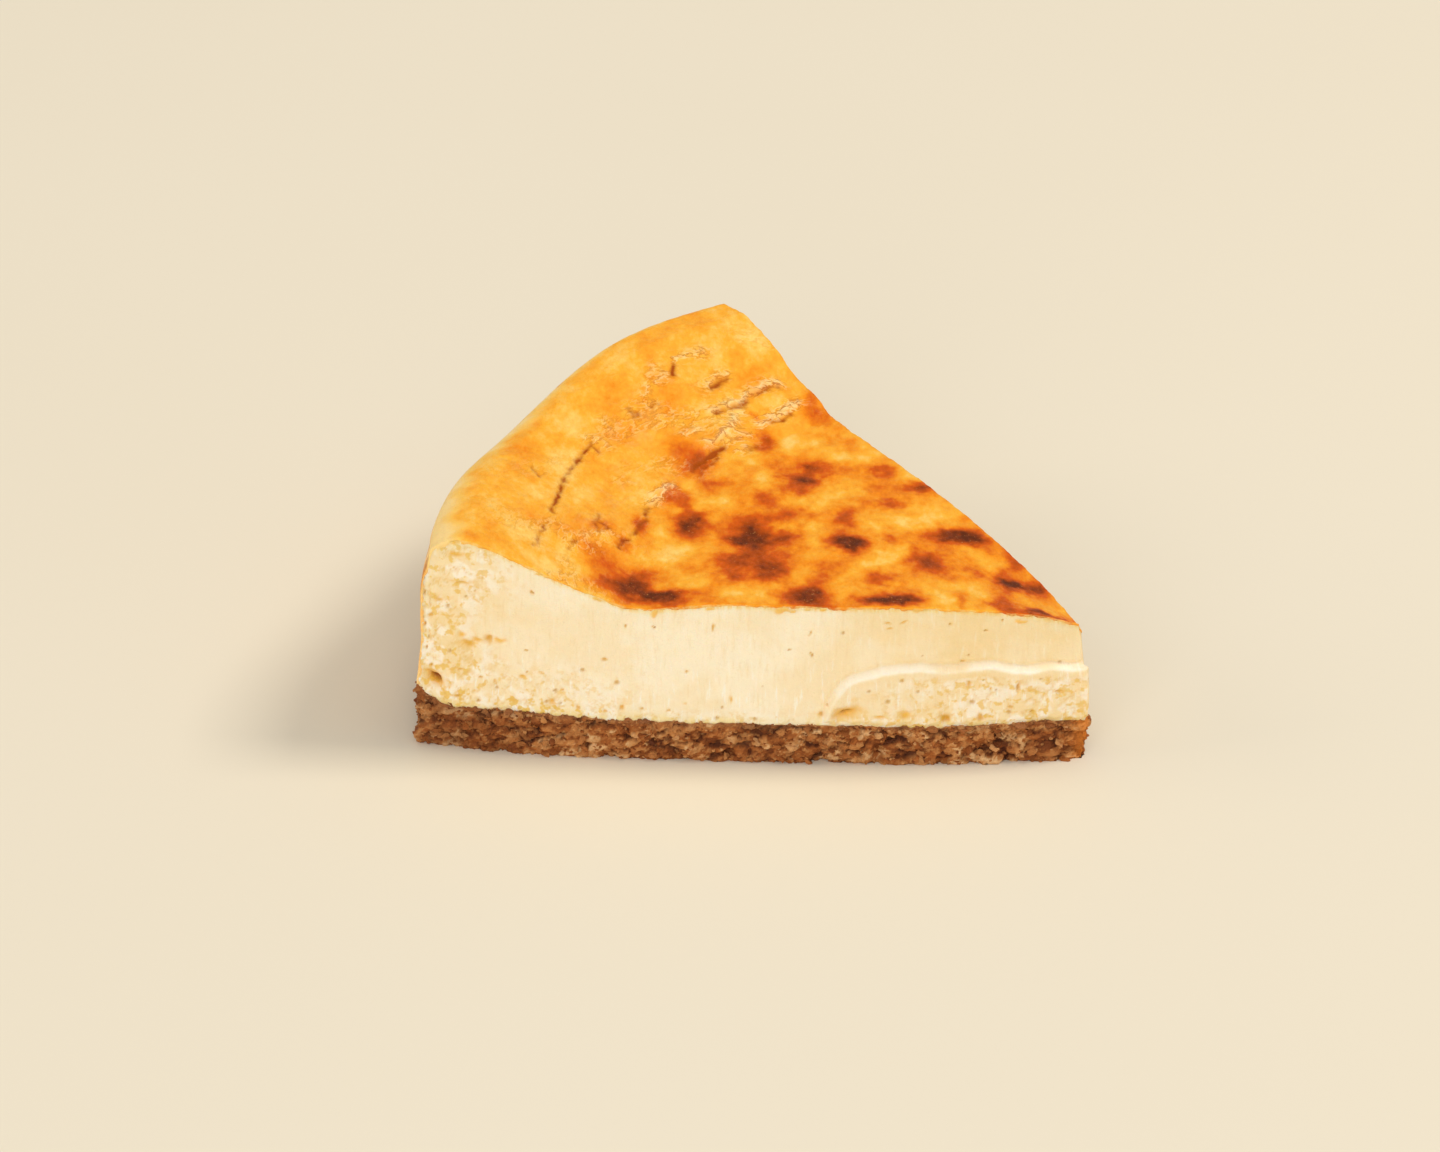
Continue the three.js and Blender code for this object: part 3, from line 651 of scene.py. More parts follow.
    def layer(self, radius: Array, turn: Array) -> Array:
        """Height of the boundary between the crumb base and the filling.

        Args:
            radius: The places' radii.
            turn: The places' turns.

        Returns:
            Heights over the underside.
        """
        x, y = self.plan(radius, turn)
        outer = ease(radius, *self.base_outer_radii)
        curl = np.maximum(0.0, (radius - (self.cake_radius - self.base_curl_width)) / self.base_curl_width)
        uneven = self.layer_uneven * Noise(9.0, 21).at(x, y)
        uneven = uneven + self.layer_ragged * Noise(1.3, 22).octaves(x, y, count=2, keep=0.7)
        rise = self.base_tip_rise * np.exp(-radius / self.base_tip_reach)
        return self.base_height + rise + self.base_outer_rise * outer + self.base_curl * curl**2 + uneven

    def lean(self, radius: Array, share: Array) -> Array:
        """How far the filling's tip is drawn back at a share of its height."""
        return self.tip_lean * np.exp(-radius / self.tip_lean_reach) * share

    def lip_line(self) -> tuple[Array, Array]:
        """The torn ledge's lip on the front cut, as distances from the tip and heights.

        Returns:
            Two arrays of the same length.
        """
        corners = np.array(LIP_LINE[::-1])
        steps = np.hypot(*np.diff(corners, axis=0).T)
        travel = np.concatenate([[0.0], np.cumsum(steps)])
        path = np.linspace(0.0, travel[-1], 260)
        along = np.interp(path, travel, corners[:, 0])
        height = np.interp(path, travel, corners[:, 1])
        height = height + 0.3 * Noise(2.6, 81).octaves(path, 0.0 * path, count=3)
        return along, height

    def ledge_fields(self, along: Array, height: Array) -> tuple[Array, Array]:
        """How far the torn ledge stands out, and where the painted highlight along its lip is.

        Args:
            along: The places' distances from the tip.
            height: The places' heights.

        Returns:
            The outward relief, and the share of the painted highlight along the lip, in 0..1.
        """
        line_along, line_height = self.lip_line()
        lip = np.interp(along, line_along, line_height)
        flat_along = np.ravel(along)
        flat_height = np.ravel(height)
        nearest = np.full(flat_along.shape, 1e9)
        for x, z in zip(line_along, line_height):
            nearest = np.minimum(nearest, np.hypot(flat_along - x, flat_height - z))
        nearest = nearest.reshape(np.shape(along))
        inside = (along < self.ledge_length) & (height < lip)
        signed = np.where(inside, nearest, -nearest)
        stand = ease(signed, -self.ledge_roll, 0.1)
        depth_below = clamp((lip - height) / np.maximum(lip - self.ledge_foot, 0.5))
        bulge = 1.0 - 0.5 * depth_below**1.5
        groove = 0.25 * bell(signed + self.ledge_roll + 0.25, 0.3)
        torn = 0.35 + 0.65 * ease(Noise(5.0, 82).octaves(along, height, count=2), -0.3, 0.35)
        return self.ledge_proud * stand * bulge - groove, bell(signed + 0.15, 0.55) * torn

    def cut_relief(self, radius: Array, height: Array, side: Side) -> Array:
        """Outward relief of a cut face that the solids have too."""
        x, y = self.plan(radius, 0.0 if side is Side.FRONT else 1.0)
        return self.cut_wave * Noise(17.0, 32).at(x, y, height)

    def rim_relief(self, turn: Array, height: Array) -> Array:
        """Outward relief of the rim wall.

        Args:
            turn: The places' turns.
            height: The places' heights.

        Returns:
            How far the wall stands out.
        """
        x, y = self.plan(np.array(self.cake_radius), turn)
        rise = clamp((height - self.base_height) / self.top_height_front)
        return self.rim_roughness * Noise(5.0, 31).at(x, y, height) - self.rim_lean * rise


# Meshes and node trees


def place_object(name: str, data: bpy.types.ID) -> Object:
    """Puts a new object in the scene.

    Args:
        name: Name of the object.
        data: Its mesh, camera or light.

    Returns:
        The object.
    """
    item = bpy.data.objects.new(name, data)
    bpy.context.scene.collection.objects.link(item)
    return item


class MeshMaker:
    """Gathers points, their fields and faces of one closed mesh."""

    def __init__(self, form: WedgeForm) -> None:
        """Starts empty.

        Args:
            form: The wedge.
        """
        self.form = form
        self.count = 0
        self.points: list[Array] = []
        self.faces: list[tuple[int, ...]] = []
        self.fields: dict[str, list[Array]] = {}

    def add(self, x: Array, y: Array, z: Array, **fields: Array) -> Array:
        """Adds points.

        Args:
            x: Positions from the cake's middle.
            y: Positions from the cake's middle.
            z: Heights.
            fields: A value or a direction for each point, by the field's name.

        Returns:
            The points' numbers, in the shape of x.
        """
        x, y, z = np.broadcast_arrays(x, y, z)
        size = x.size
        moved = (x.ravel() - self.form.middle[0], y.ravel() - self.form.middle[1], z.ravel())
        self.points.append(np.stack(moved, axis=1) * MM)
        for name in set(self.fields) | set(fields):
            value = np.asarray(fields.get(name, 0.0), float)
            is_vector = value.ndim > x.ndim or name.endswith("_out") or name.endswith("_place")
            shape = (*x.shape, 3) if is_vector else x.shape
            stored = np.broadcast_to(value, shape).reshape((size, 3) if is_vector else (size,))
            missing = np.zeros((self.count, 3) if is_vector else (self.count,))
            self.fields.setdefault(name, [missing] if self.count else [])
            self.fields[name].append(stored)
        numbers = np.arange(self.count, self.count + size).reshape(x.shape)
        self.count += size
        return numbers

    def grid(self, numbers: Array) -> None:
        """Fills a grid of points with quads.

        Args:
            numbers: The points' numbers, row by row.
        """
        a, b = numbers[:-1, :-1].ravel(), numbers[1:, :-1].ravel()
        c, d = numbers[1:, 1:].ravel(), numbers[:-1, 1:].ravel()
        self.faces.extend(map(tuple, np.stack((a, b, c, d), axis=1).tolist()))

    def zipper(self, first: Sequence[int], second: Sequence[int]) -> None:
        """Fills the strip between two rows with different numbers of points.

        Args:
            first: Numbers of the first row's points.
            second: Numbers of the second row's points.
        """
        i = j = 0
        last_i, last_j = len(first) - 1, len(second) - 1
        while i < last_i or j < last_j:
            if j == last_j or (i < last_i and (i + 1) * last_j <= (j + 1) * last_i):
                self.faces.append((first[i], first[i + 1], second[j]))
                i += 1
            else:
                self.faces.append((first[i], second[j + 1], second[j]))
                j += 1

    def finish(self, name: str) -> Object:
        """Makes the object, with its faces turned outwards.

        Args:
            name: Name of the object and its mesh.

        Returns:
            The new object, linked to the scene.
        """
        mesh = bpy.data.meshes.new(name)
        mesh.from_pydata(np.concatenate(self.points).tolist(), [], self.faces)
        for field_name, parts in self.fields.items():
            values = np.concatenate(parts).astype(np.float32)
            kind, key = ("FLOAT_VECTOR", "vector") if values.ndim == 2 else ("FLOAT", "value")
            mesh.attributes.new(field_name, kind, "POINT").data.foreach_set(key, values.ravel())
        work = bmesh.new()
        work.from_mesh(mesh)
        bmesh.ops.recalc_face_normals(work, faces=work.faces)
        work.to_mesh(mesh)
        work.free()
        mesh.polygons.foreach_set("use_smooth", [True] * len(mesh.polygons))
        mesh.update()
        return place_object(name, mesh)


def paint(code: str) -> tuple[float, float, float, float]:
    """A colour given as #rrggbb on screen, as the linear values that nodes take.

    Args:
        code: The colour.

    Returns:
        Red, green, blue and an alpha of one.
    """
    channels = [int(code[i : i + 2], 16) / 255.0 for i in (1, 3, 5)]
    linear = [c / 12.92 if c <= 0.04045 else ((c + 0.055) / 1.055) ** 2.4 for c in channels]
    return (*linear, 1.0)


class NodeWriter:
    """Writes nodes and links into one shader or geometry tree."""

    def __init__(self, tree: Tree) -> None:
        """Keeps the tree that is written."""
        self.tree = tree

    def put(self, socket: Socket, value: Any) -> None:
        """Links a socket to another, or sets its plain value.

        Args:
            socket: The input that is fed.
            value: An output, or a number, a direction, a colour or a name.
        """
        if isinstance(value, bpy.types.NodeSocket):
            self.tree.links.new(value, socket)
        else:
            socket.default_value = value

    def node(self, kind: str, inputs: Inputs | None = None, **settings: Any) -> bpy.types.Node:
        """Adds a node.

        Args:
            kind: Blender's name for it.
            inputs: What goes into it, by the input's name or number.
            settings: Its own properties.

        Returns:
            The node.
        """
        made = self.tree.nodes.new(kind)
        for key, value in settings.items():
            setattr(made, key, value)
        for key, value in (inputs or {}).items():
            self.put(made.inputs[key], value)
        return made

    def math(self, operation: str, first: Any, second: Any = 0.0) -> Socket:
        """Adds a Math node."""
        return self.node("ShaderNodeMath", {0: first, 1: second}, operation=operation).outputs[0]

    def times(self, *values: Any) -> Socket:
        """Multiplies two or more values."""
        return reduce(partial(self.math, "MULTIPLY"), values)

    def plus(self, *values: Any) -> Socket:
        """Adds two or more values up."""
        return reduce(partial(self.math, "ADD"), values)

    def minus(self, first: Any, second: Any) -> Socket:
        """Takes the second value from the first."""
        return self.math("SUBTRACT", first, second)

    def over(self, first: Any, second: Any) -> Socket:
        """Divides the first value by the second."""
        return self.math("DIVIDE", first, second)

    def vector(self, operation: str, first: Any, second: Any) -> Socket:
        """Adds a Vector Math node; with SCALE the second is one number."""
        inputs = {0: first, "Scale" if operation == "SCALE" else 1: second}
        return self.node("ShaderNodeVectorMath", inputs, operation=operation).outputs["Vector"]

    def split(self, value: Any) -> Sequence[Socket]:
        """The three parts of a direction or a colour."""
        return self.node("ShaderNodeSeparateXYZ", {0: value}).outputs

    def mix(self, share: Any, first: Any, second: Any, blend: str = "MIX") -> Socket:
        """Adds a Mix node for colours."""
        settings = {"data_type": "RGBA", "blend_type": blend, "clamp_factor": True}
        return self.node("ShaderNodeMix", {0: share, 6: first, 7: second}, **settings).outputs[2]

    def band(self, value: Any, low: float, high: float, start: float = 0.0, end: float = 1.0) -> Socket:
        """Maps low..high smoothly to start..end."""
        inputs = dict(enumerate((value, low, high, start, end)))
        return self.node("ShaderNodeMapRange", inputs, interpolation_type="SMOOTHSTEP").outputs[0]

    def ramp(self, value: Any, stops: Iterable[tuple[float, str]]) -> Socket:
        """Adds a Color Ramp.

        Args:
            value: What is looked up on it.
            stops: Its places, each with a colour as #rrggbb.

        Returns:
            The colour.
        """
        made = self.node("ShaderNodeValToRGB", {0: value})
        elements = made.color_ramp.elements
        elements.remove(elements[-1])
        for number, (place, code) in enumerate(stops):
            element = elements.new(place) if number else elements[0]
            element.position = place
            element.color = paint(code)
        return made.outputs[0]

    def noise(self, place: Any, scale: Any, detail: float = 2.0, rough: float = 0.5) -> Socket:
        """Adds a Noise Texture and gives its value."""
        inputs = {"Vector": place, "Scale": scale, "Detail": detail, "Roughness": rough}
        return self.node("ShaderNodeTexNoise", inputs, noise_dimensions="3D").outputs[0]

    def stray(self, place: Any, scale: Any, reach: Any, detail: float = 2.0) -> Socket:
        """Uneven shift in all directions.

        Args:
            place: Where it is read.
            scale: Scale of its noise.
            reach: About twice the longest shift.
            detail: Layers of the noise.

        Returns:
            The shift.
        """
        inputs = {"Vector": place, "Scale": scale, "Detail": detail}
        colour = self.node("ShaderNodeTexNoise", inputs, noise_dimensions="3D").outputs["Color"]
        return self.vector("SCALE", self.vector("SUBTRACT", colour, (0.5, 0.5, 0.5)), reach)

    def cells(self, place: Any, scale: Any, dimensions: str = "3D") -> bpy.types.Node:
        """Adds a Voronoi Texture of nearest cells."""
        settings = {"voronoi_dimensions": dimensions, "feature": "F1"}
        return self.node("ShaderNodeTexVoronoi", {"Vector": place, "Scale": scale}, **settings)


class ShapeRecipe(NodeWriter):
    """A Geometry Nodes tree with named inputs that is baked into an object's mesh."""

    def __init__(self, name: str) -> None:
        """Starts the tree with its geometry and material sockets.

        Args:
            name: Name of the tree.
        """
        super().__init__(bpy.data.node_groups.new(name, "GeometryNodeTree"))
        self.sockets: dict[str, str] = {}
        self.source = self.node("NodeGroupInput")
        self.mesh = self.input("Geometry", "Geometry")
        self.tree.interface.new_socket("Geometry", in_out="OUTPUT", socket_type="NodeSocketGeometry")
        self.material = self.input("Material", "Material")

    def input(self, name: str, kind: str, default: float | None = None) -> Socket:
        """Adds a named input to the tree.

        Args:
            name: Its name.
            kind: What it takes, as Blender's sockets are named.
            default: Its value at first, for a number.

        Returns:
            What the tree reads from it.
        """
        made = self.tree.interface.new_socket(name, in_out="INPUT", socket_type=f"NodeSocket{kind}")
        if default is not None:
            made.default_value = default
        self.sockets[name] = made.identifier
        return self.source.outputs[name]

    def number(self, name: str, default: float) -> Socket:
        """Adds a named number to the tree's inputs."""
        return self.input(name, "Float", default)

    def field(self, name: str, kind: str = "FLOAT") -> Socket:
        """Reads a field that the mesh carries."""
        made = self.node("GeometryNodeInputNamedAttribute", {"Name": name}, data_type=kind)
        return made.outputs["Attribute"]

    def position(self) -> Socket:
        """Reads where the points are."""
        return self.node("GeometryNodeInputPosition").outputs[0]

    def random(self, low: Any, high: Any, seed: Any) -> Socket:
        """A random number or direction for each item.

        Args:
            low: Lowest value, a number or three.
            high: Highest value.
            seed: Which draw it is.

        Returns:
            The value.
        """
        single = isinstance(low, float)
        inputs = {2 if single else 0: low, 3 if single else 1: high, "Seed": seed}
        settings = {"data_type": "FLOAT" if single else "FLOAT_VECTOR"}
        return self.node("FunctionNodeRandomValue", inputs, **settings).outputs[1 if single else 0]

    def store(self, geometry: Socket, name: str, value: Socket, domain: str = "POINT") -> Socket:
        """Writes a field onto the mesh.

        Args:
            geometry: The mesh.
            name: Its name.
            value: The value.
            domain: What it is stored on.

        Returns:
            The mesh with its field.
        """
        inputs = {"Geometry": geometry, "Name": name, "Value": value}
        settings = {"data_type": "FLOAT", "domain": domain}
        return self.node("GeometryNodeStoreNamedAttribute", inputs, **settings).outputs[0]

    def move(self, geometry: Socket, offset: Socket) -> Socket:
        """Moves the points by an offset."""
        return self.node("GeometryNodeSetPosition", {"Geometry": geometry, "Offset": offset}).outputs[0]

    def realize(self, geometry: Socket) -> Socket:
        """Makes instances real."""
        return self.node("GeometryNodeRealizeInstances", {"Geometry": geometry}).outputs[0]

    def close(self, geometry: Socket) -> None:
        """Ends the tree: instances made real, material set."""
        inputs = {"Geometry": self.realize(geometry), "Material": self.material}
        self.node("NodeGroupOutput", {"Geometry": self.node("GeometryNodeSetMaterial", inputs).outputs[0]})

    def bake(self, item: Object, **values: Any) -> Object:
        """Runs the tree on an object and keeps the result as a plain mesh.

        Args:
            item: Object that the tree starts from.
            values: The tree's inputs, with underscores for spaces.

        Returns:
            The object, with its modifier gone and the new mesh in place.
        """
        modifier = item.modifiers.new(item.name, "NODES")
        modifier.node_group = self.tree
        for key, value in values.items():
            modifier[self.sockets[key.replace("_", " ")]] = value
        graph = bpy.context.evaluated_depsgraph_get()
        done = item.evaluated_get(graph)
        mesh = bpy.data.meshes.new_from_object(done, preserve_all_data_layers=True, depsgraph=graph)
        item.modifiers.clear()
        before = item.data
        item.data = mesh
        bpy.data.meshes.remove(before)
        mesh.name = item.name
        return item


def cut_texture() -> ShapeRecipe:
    """Relief of a knife cut: upright drag streaks, small pores, and crevices where it tore.

    Returns:
        The tree; its mesh carries the fields cut_place, cut_out and curdled.
    """
    recipe = ShapeRecipe("Knife cut texture")
    streak_depth = recipe.number("Streak Depth", 0.05)
    streak_width = recipe.number("Streak Width", 1.0)
    streak_length = recipe.number("Streak Length", 5.0)
    pore_spacing = recipe.number("Pore Spacing", 2.1)
    pore_size = recipe.number("Pore Size", 0.42)
    pore_depth = recipe.number("Pore Depth", 0.28)
    curd_size = recipe.number("Curd Size", 2.4)
    curd_depth = recipe.number("Curd Depth", 0.5)
    crevice_depth = 0.16
    place = recipe.field("cut_place", "FLOAT_VECTOR")
    direction = recipe.field("cut_out", "FLOAT_VECTOR")
    curdled = recipe.field("curdled")

    along, up, _ = recipe.split(place)
    wander = recipe.times(recipe.noise(place, 0.22, 1.0), 3.0)
    across = recipe.over(recipe.plus(along, wander), streak_width)
    inputs = {0: across, 1: recipe.over(up, streak_length)}
    stretched = recipe.node("ShaderNodeCombineXYZ", inputs).outputs[0]
    streak = recipe.minus(recipe.noise(stretched, 1.0, 2.0), 0.5)
    streak = recipe.times(streak, 2.0, streak_depth)

    cell = recipe.cells(place, recipe.over(1.0, pore_spacing), "2D")
    size, chance, _ = recipe.split(cell.outputs["Color"])
    reach = recipe.times(cell.outputs["Distance"], pore_spacing)
    radius = recipe.times(pore_size, recipe.plus(0.4, size))
    dent = recipe.math("MAXIMUM", recipe.minus(1.0, recipe.over(reach, radius)), 0.0)
    rare = recipe.minus(0.99, recipe.times(curdled, 0.16))
    dent = recipe.times(dent, recipe.math("GREATER_THAN", chance, rare), 1.8)
    dent = recipe.math("MINIMUM", dent, 1.0)

    lumps = recipe.minus(recipe.noise(place, recipe.over(1.0, curd_size), 3.0, 0.6), 0.5)
    narrow = recipe.times(recipe.math("ABSOLUTE", lumps), 16.0)
    crevice = recipe.math("MAXIMUM", recipe.minus(1.0, narrow), 0.0)
    patch = recipe.band(recipe.noise(place, 0.33, 1.0), 0.42, 0.6)
    crevice = recipe.times(crevice, patch, curdled)

    height = recipe.minus(streak, recipe.times(dent, pore_depth))
    height = recipe.plus(height, recipe.times(lumps, curd_depth, curdled))
    height = recipe.minus(height, recipe.times(crevice, crevice_depth))
    marked = recipe.store(recipe.mesh, "pore", dent)
    marked = recipe.store(marked, "crevice", crevice)
    recipe.close(recipe.move(marked, recipe.vector("SCALE", direction, recipe.times(height, MM))))
    return recipe


def crumb_texture() -> ShapeRecipe:
    """Relief of pressed crumbs on the base's sides, with a tone for each crumb that is partly its own and
    partly painted highlight on raised crumbs, and a gap field for painted shade in the hollows.

    Returns:
        The tree; its mesh carries the field crumb_out.
    """
    recipe = ShapeRecipe("Pressed crumb texture")
    crumb_size = recipe.number("Crumb Size", 2.2)
    grain_size = recipe.number("Grain Size", 1.0)
    lump_height = recipe.number("Lump Height", 1.1)
    direction = recipe.field("crumb_out", "FLOAT_VECTOR")
    place = recipe.vector("MULTIPLY", recipe.position(), (0.75 / MM, 0.75 / MM, 1.3 / MM))
    warped = recipe.vector("ADD", place, recipe.stray(place, 0.8, 2.4, 3.0))
    cell_reach = 0.78

    rough = recipe.minus(recipe.noise(place, 0.42, 4.0, 0.6), 0.5)
    total = recipe.times(rough, lump_height)
    # Tone partly follows the relief's height, so raised crumbs are lighter: painted highlight
    tone = recipe.minus(recipe.times(rough, 0.5), 0.2)
    parts = (("Crumb", crumb_size, 0.62, 0.6, 0.85, 0.7), ("Grain", grain_size, 0.5, 0.32, 0.5, 0.6))
    for name, width, middle, depth, step, weight in parts:
        cell = recipe.cells(warped, recipe.over(1.0, width))
        square = recipe.math("POWER", recipe.over(cell.outputs["Distance"], cell_reach), 3.0)
        plateau = recipe.minus(1.0 - middle, recipe.math("MINIMUM", square, 1.0))
        own_tone, own_height, _ = recipe.split(cell.outputs["Color"])
        own_height = recipe.times(recipe.minus(own_height, 0.5), recipe.number(f"{name} Step", step))
        plateau = recipe.times(plateau, recipe.number(f"{name} Depth", depth))
        total = recipe.plus(total, own_height, plateau)
        tone = recipe.plus(tone, recipe.times(own_tone, weight))
    # More painted highlight: the tone rises with the total relief
    tone = recipe.plus(tone, recipe.times(total, 0.25))
    marked = recipe.store(recipe.mesh, "tone", tone)
    # Painted shade: the gap field marks where the relief sinks into hollows
    marked = recipe.store(marked, "gap", recipe.band(total, -0.05, -0.65))
    recipe.close(recipe.move(marked, recipe.vector("SCALE", direction, recipe.times(total, MM))))
    return recipe


def crumb_scatter() -> ShapeRecipe:
    """Loose crumbs of two kinds pressed into the base's sides.

    Returns:
        The tree; its mesh carries the field crumb_show.
    """
    recipe = ShapeRecipe("Scattered crumbs")
    seed = recipe.input("Seed", "Int", 7)
    show = recipe.field("crumb_show")
    branches = []
    for shift, (kind, size, density, rings) in enumerate((("Coarse", 1.7, 0.05, 2), ("Fine", 0.8, 0.9, 1))):
        width = recipe.number(f"{kind} Size", size)
        thick = recipe.times(recipe.number(f"{kind} Density", density), show, MM**-2)
        own_seed, turn_seed, form_seed, tone_seed = (
            recipe.plus(seed, float(start + shift)) for start in (0, 11, 21, 31)
        )
        inputs = {"Mesh": recipe.mesh, "Density": thick, "Seed": own_seed}
        spread = recipe.node("GeometryNodeDistributePointsOnFaces", inputs, distribute_method="RANDOM")
        ball = recipe.node("GeometryNodeMeshIcoSphere", {"Radius": 0.5, "Subdivisions": rings})
        form = recipe.random((0.6, 0.5, 0.3), (1.4, 1.1, 0.7), form_seed)
        inputs = {
            "Points": spread.outputs["Points"],
            "Instance": ball.outputs["Mesh"],
            "Rotation": recipe.random((-0.5, -0.5, 0.0), (0.5, 0.5, 6.28), turn_seed),
            "Scale": recipe.vector("SCALE", form, recipe.times(width, MM)),
        }
        placed = recipe.node("GeometryNodeInstanceOnPoints", inputs).outputs[0]
        toned = recipe.store(placed, "tone", recipe.random(0.0, 0.85, tone_seed), "INSTANCE")
        place = recipe.vector("SCALE", recipe.position(), 1.0 / MM)
        jog = recipe.stray(place, recipe.over(1.5, width), recipe.times(width, 1.1 * MM))
        branches.append(recipe.move(recipe.realize(toned), jog))
    joined = recipe.node("GeometryNodeJoinGeometry")
    for branch in reversed(branches):
        recipe.put(joined.inputs[0], branch)
    raised = recipe.vector("MAXIMUM", recipe.position(), (-1.0, -1.0, 0.0))
    grounded = recipe.node("GeometryNodeSetPosition", {"Geometry": joined.outputs[0], "Position": raised})
    inputs = {"Geometry": grounded.outputs[0], "Shade Smooth": False}
    recipe.close(recipe.node("GeometryNodeSetShadeSmooth", inputs).outputs[0])
    return recipe


# Finishes


class MaterialWriter(NodeWriter):
    """Writes one material round its Principled shader."""

    def __init__(self, name: str) -> None:
        """Starts the material with an empty shader and the object's coordinates in millimetres.

        Args:
            name: Name of the material.
        """
        self.material = bpy.data.materials.new(name)
        self.material.use_nodes = True
        super().__init__(self.material.node_tree)
        self.shader = self.tree.nodes["Principled BSDF"]
        coordinates = self.node("ShaderNodeTexCoord").outputs["Object"]
        self.place = self.vector("SCALE", coordinates, 1.0 / MM)

    def field(self, name: str, output: str = "Fac") -> Socket:
        """Reads a field that the mesh carries."""
        return self.node("ShaderNodeAttribute", attribute_name=name).outputs[output]

    def coats(self, colour: Any, *coats: tuple[Any, str]) -> Socket:
        """Lays colours over a colour, one after another.

        Args:
            colour: The colour that they lie on.
            coats: The share of each and its colour as #rrggbb.

        Returns:
            The colour that shows.
        """
        for share, code in coats:
            colour = self.mix(share, colour, paint(code))
        return colour

    def dress(self, speckle: Tree, place: Socket, colour: Socket, code: str, **sizes: float) -> Socket:
        """Speckles a colour and feeds it to the shader.

        Args:
            speckle: Shared speckle group.
            place: Where its noise is read.
            colour: The colour.
            code: The specks' colour as #rrggbb.
            sizes: The group's Scale, Mottle and Specks.

        Returns:
            The specks' height.
        """
        inputs = {"Place": place, "Colour": colour, "Speck Colour": paint(code), **sizes}
        group = self.node("ShaderNodeGroup", inputs, node_tree=speckle)
        self.feed(Base_Color=group.outputs["Colour"])
        return group.outputs["Height"]

    def bump(self, height: Socket, distance: float) -> None:
        """Feeds a height, in millimetres of distance, to the shader's normal."""
        made = self.node("ShaderNodeBump", {"Strength": 1.0, "Distance": distance * MM, "Height": height})
        self.feed(Normal=made.outputs[0])

    def feed(self, **values: Any) -> None:
        """Links the shader's own sockets, or sets their plain values."""
        for key, value in values.items():
            self.put(self.shader.inputs[key.replace("_", " ")], value)


def speckle_group() -> Tree:
    """Shared group: fine mottling of a colour, with small darker specks.

    Returns:
        A shader group that takes a place, a colour, the specks' colour and amounts, and
        gives the mottled colour and a height for a bump.
    """
    tree = bpy.data.node_groups.new("Baked speckle", "ShaderNodeTree")
    sockets = (
        ("Place", "INPUT", "Vector", None),
        ("Colour", "INPUT", "Color", None),
        ("Speck Colour", "INPUT", "Color", None),
        ("Scale", "INPUT", "Float", 1.0),
        ("Mottle", "INPUT", "Float", 0.1),
        ("Specks", "INPUT", "Float", 0.3),
        ("Colour", "OUTPUT", "Color", None),
        ("Height", "OUTPUT", "Float", None),
    )
    for name, way, kind, default in sockets:
        made = tree.interface.new_socket(name, in_out=way, socket_type=f"NodeSocket{kind}")
        if default is not None:
            made.default_value = default
    nodes = NodeWriter(tree)
    place, colour, speck_colour, scale, mottle, amount, *_ = nodes.node("NodeGroupInput").outputs
    coarse = nodes.noise(place, nodes.times(scale, 0.35), 3.0, 0.6)
    fine = nodes.noise(place, nodes.times(scale, 1.9), 2.0, 0.6)
    sway = nodes.minus(nodes.plus(coarse, fine), 1.0)
    factor = nodes.plus(1.0, nodes.times(sway, mottle))
    grey = nodes.node("ShaderNodeCombineColor", {0: factor, 1: factor, 2: factor}).outputs[0]
    mottled = nodes.mix(1.0, colour, grey, "MULTIPLY")
    specks = nodes.noise(place, nodes.times(scale, 3.1), 1.0, 0.5)
    mask = nodes.times(nodes.band(specks, 0.62, 0.74), amount)
    height = nodes.plus(fine, nodes.times(mask, -0.5))
    nodes.node("NodeGroupOutput", {"Colour": nodes.mix(mask, mottled, speck_colour), "Height": height})
    return tree


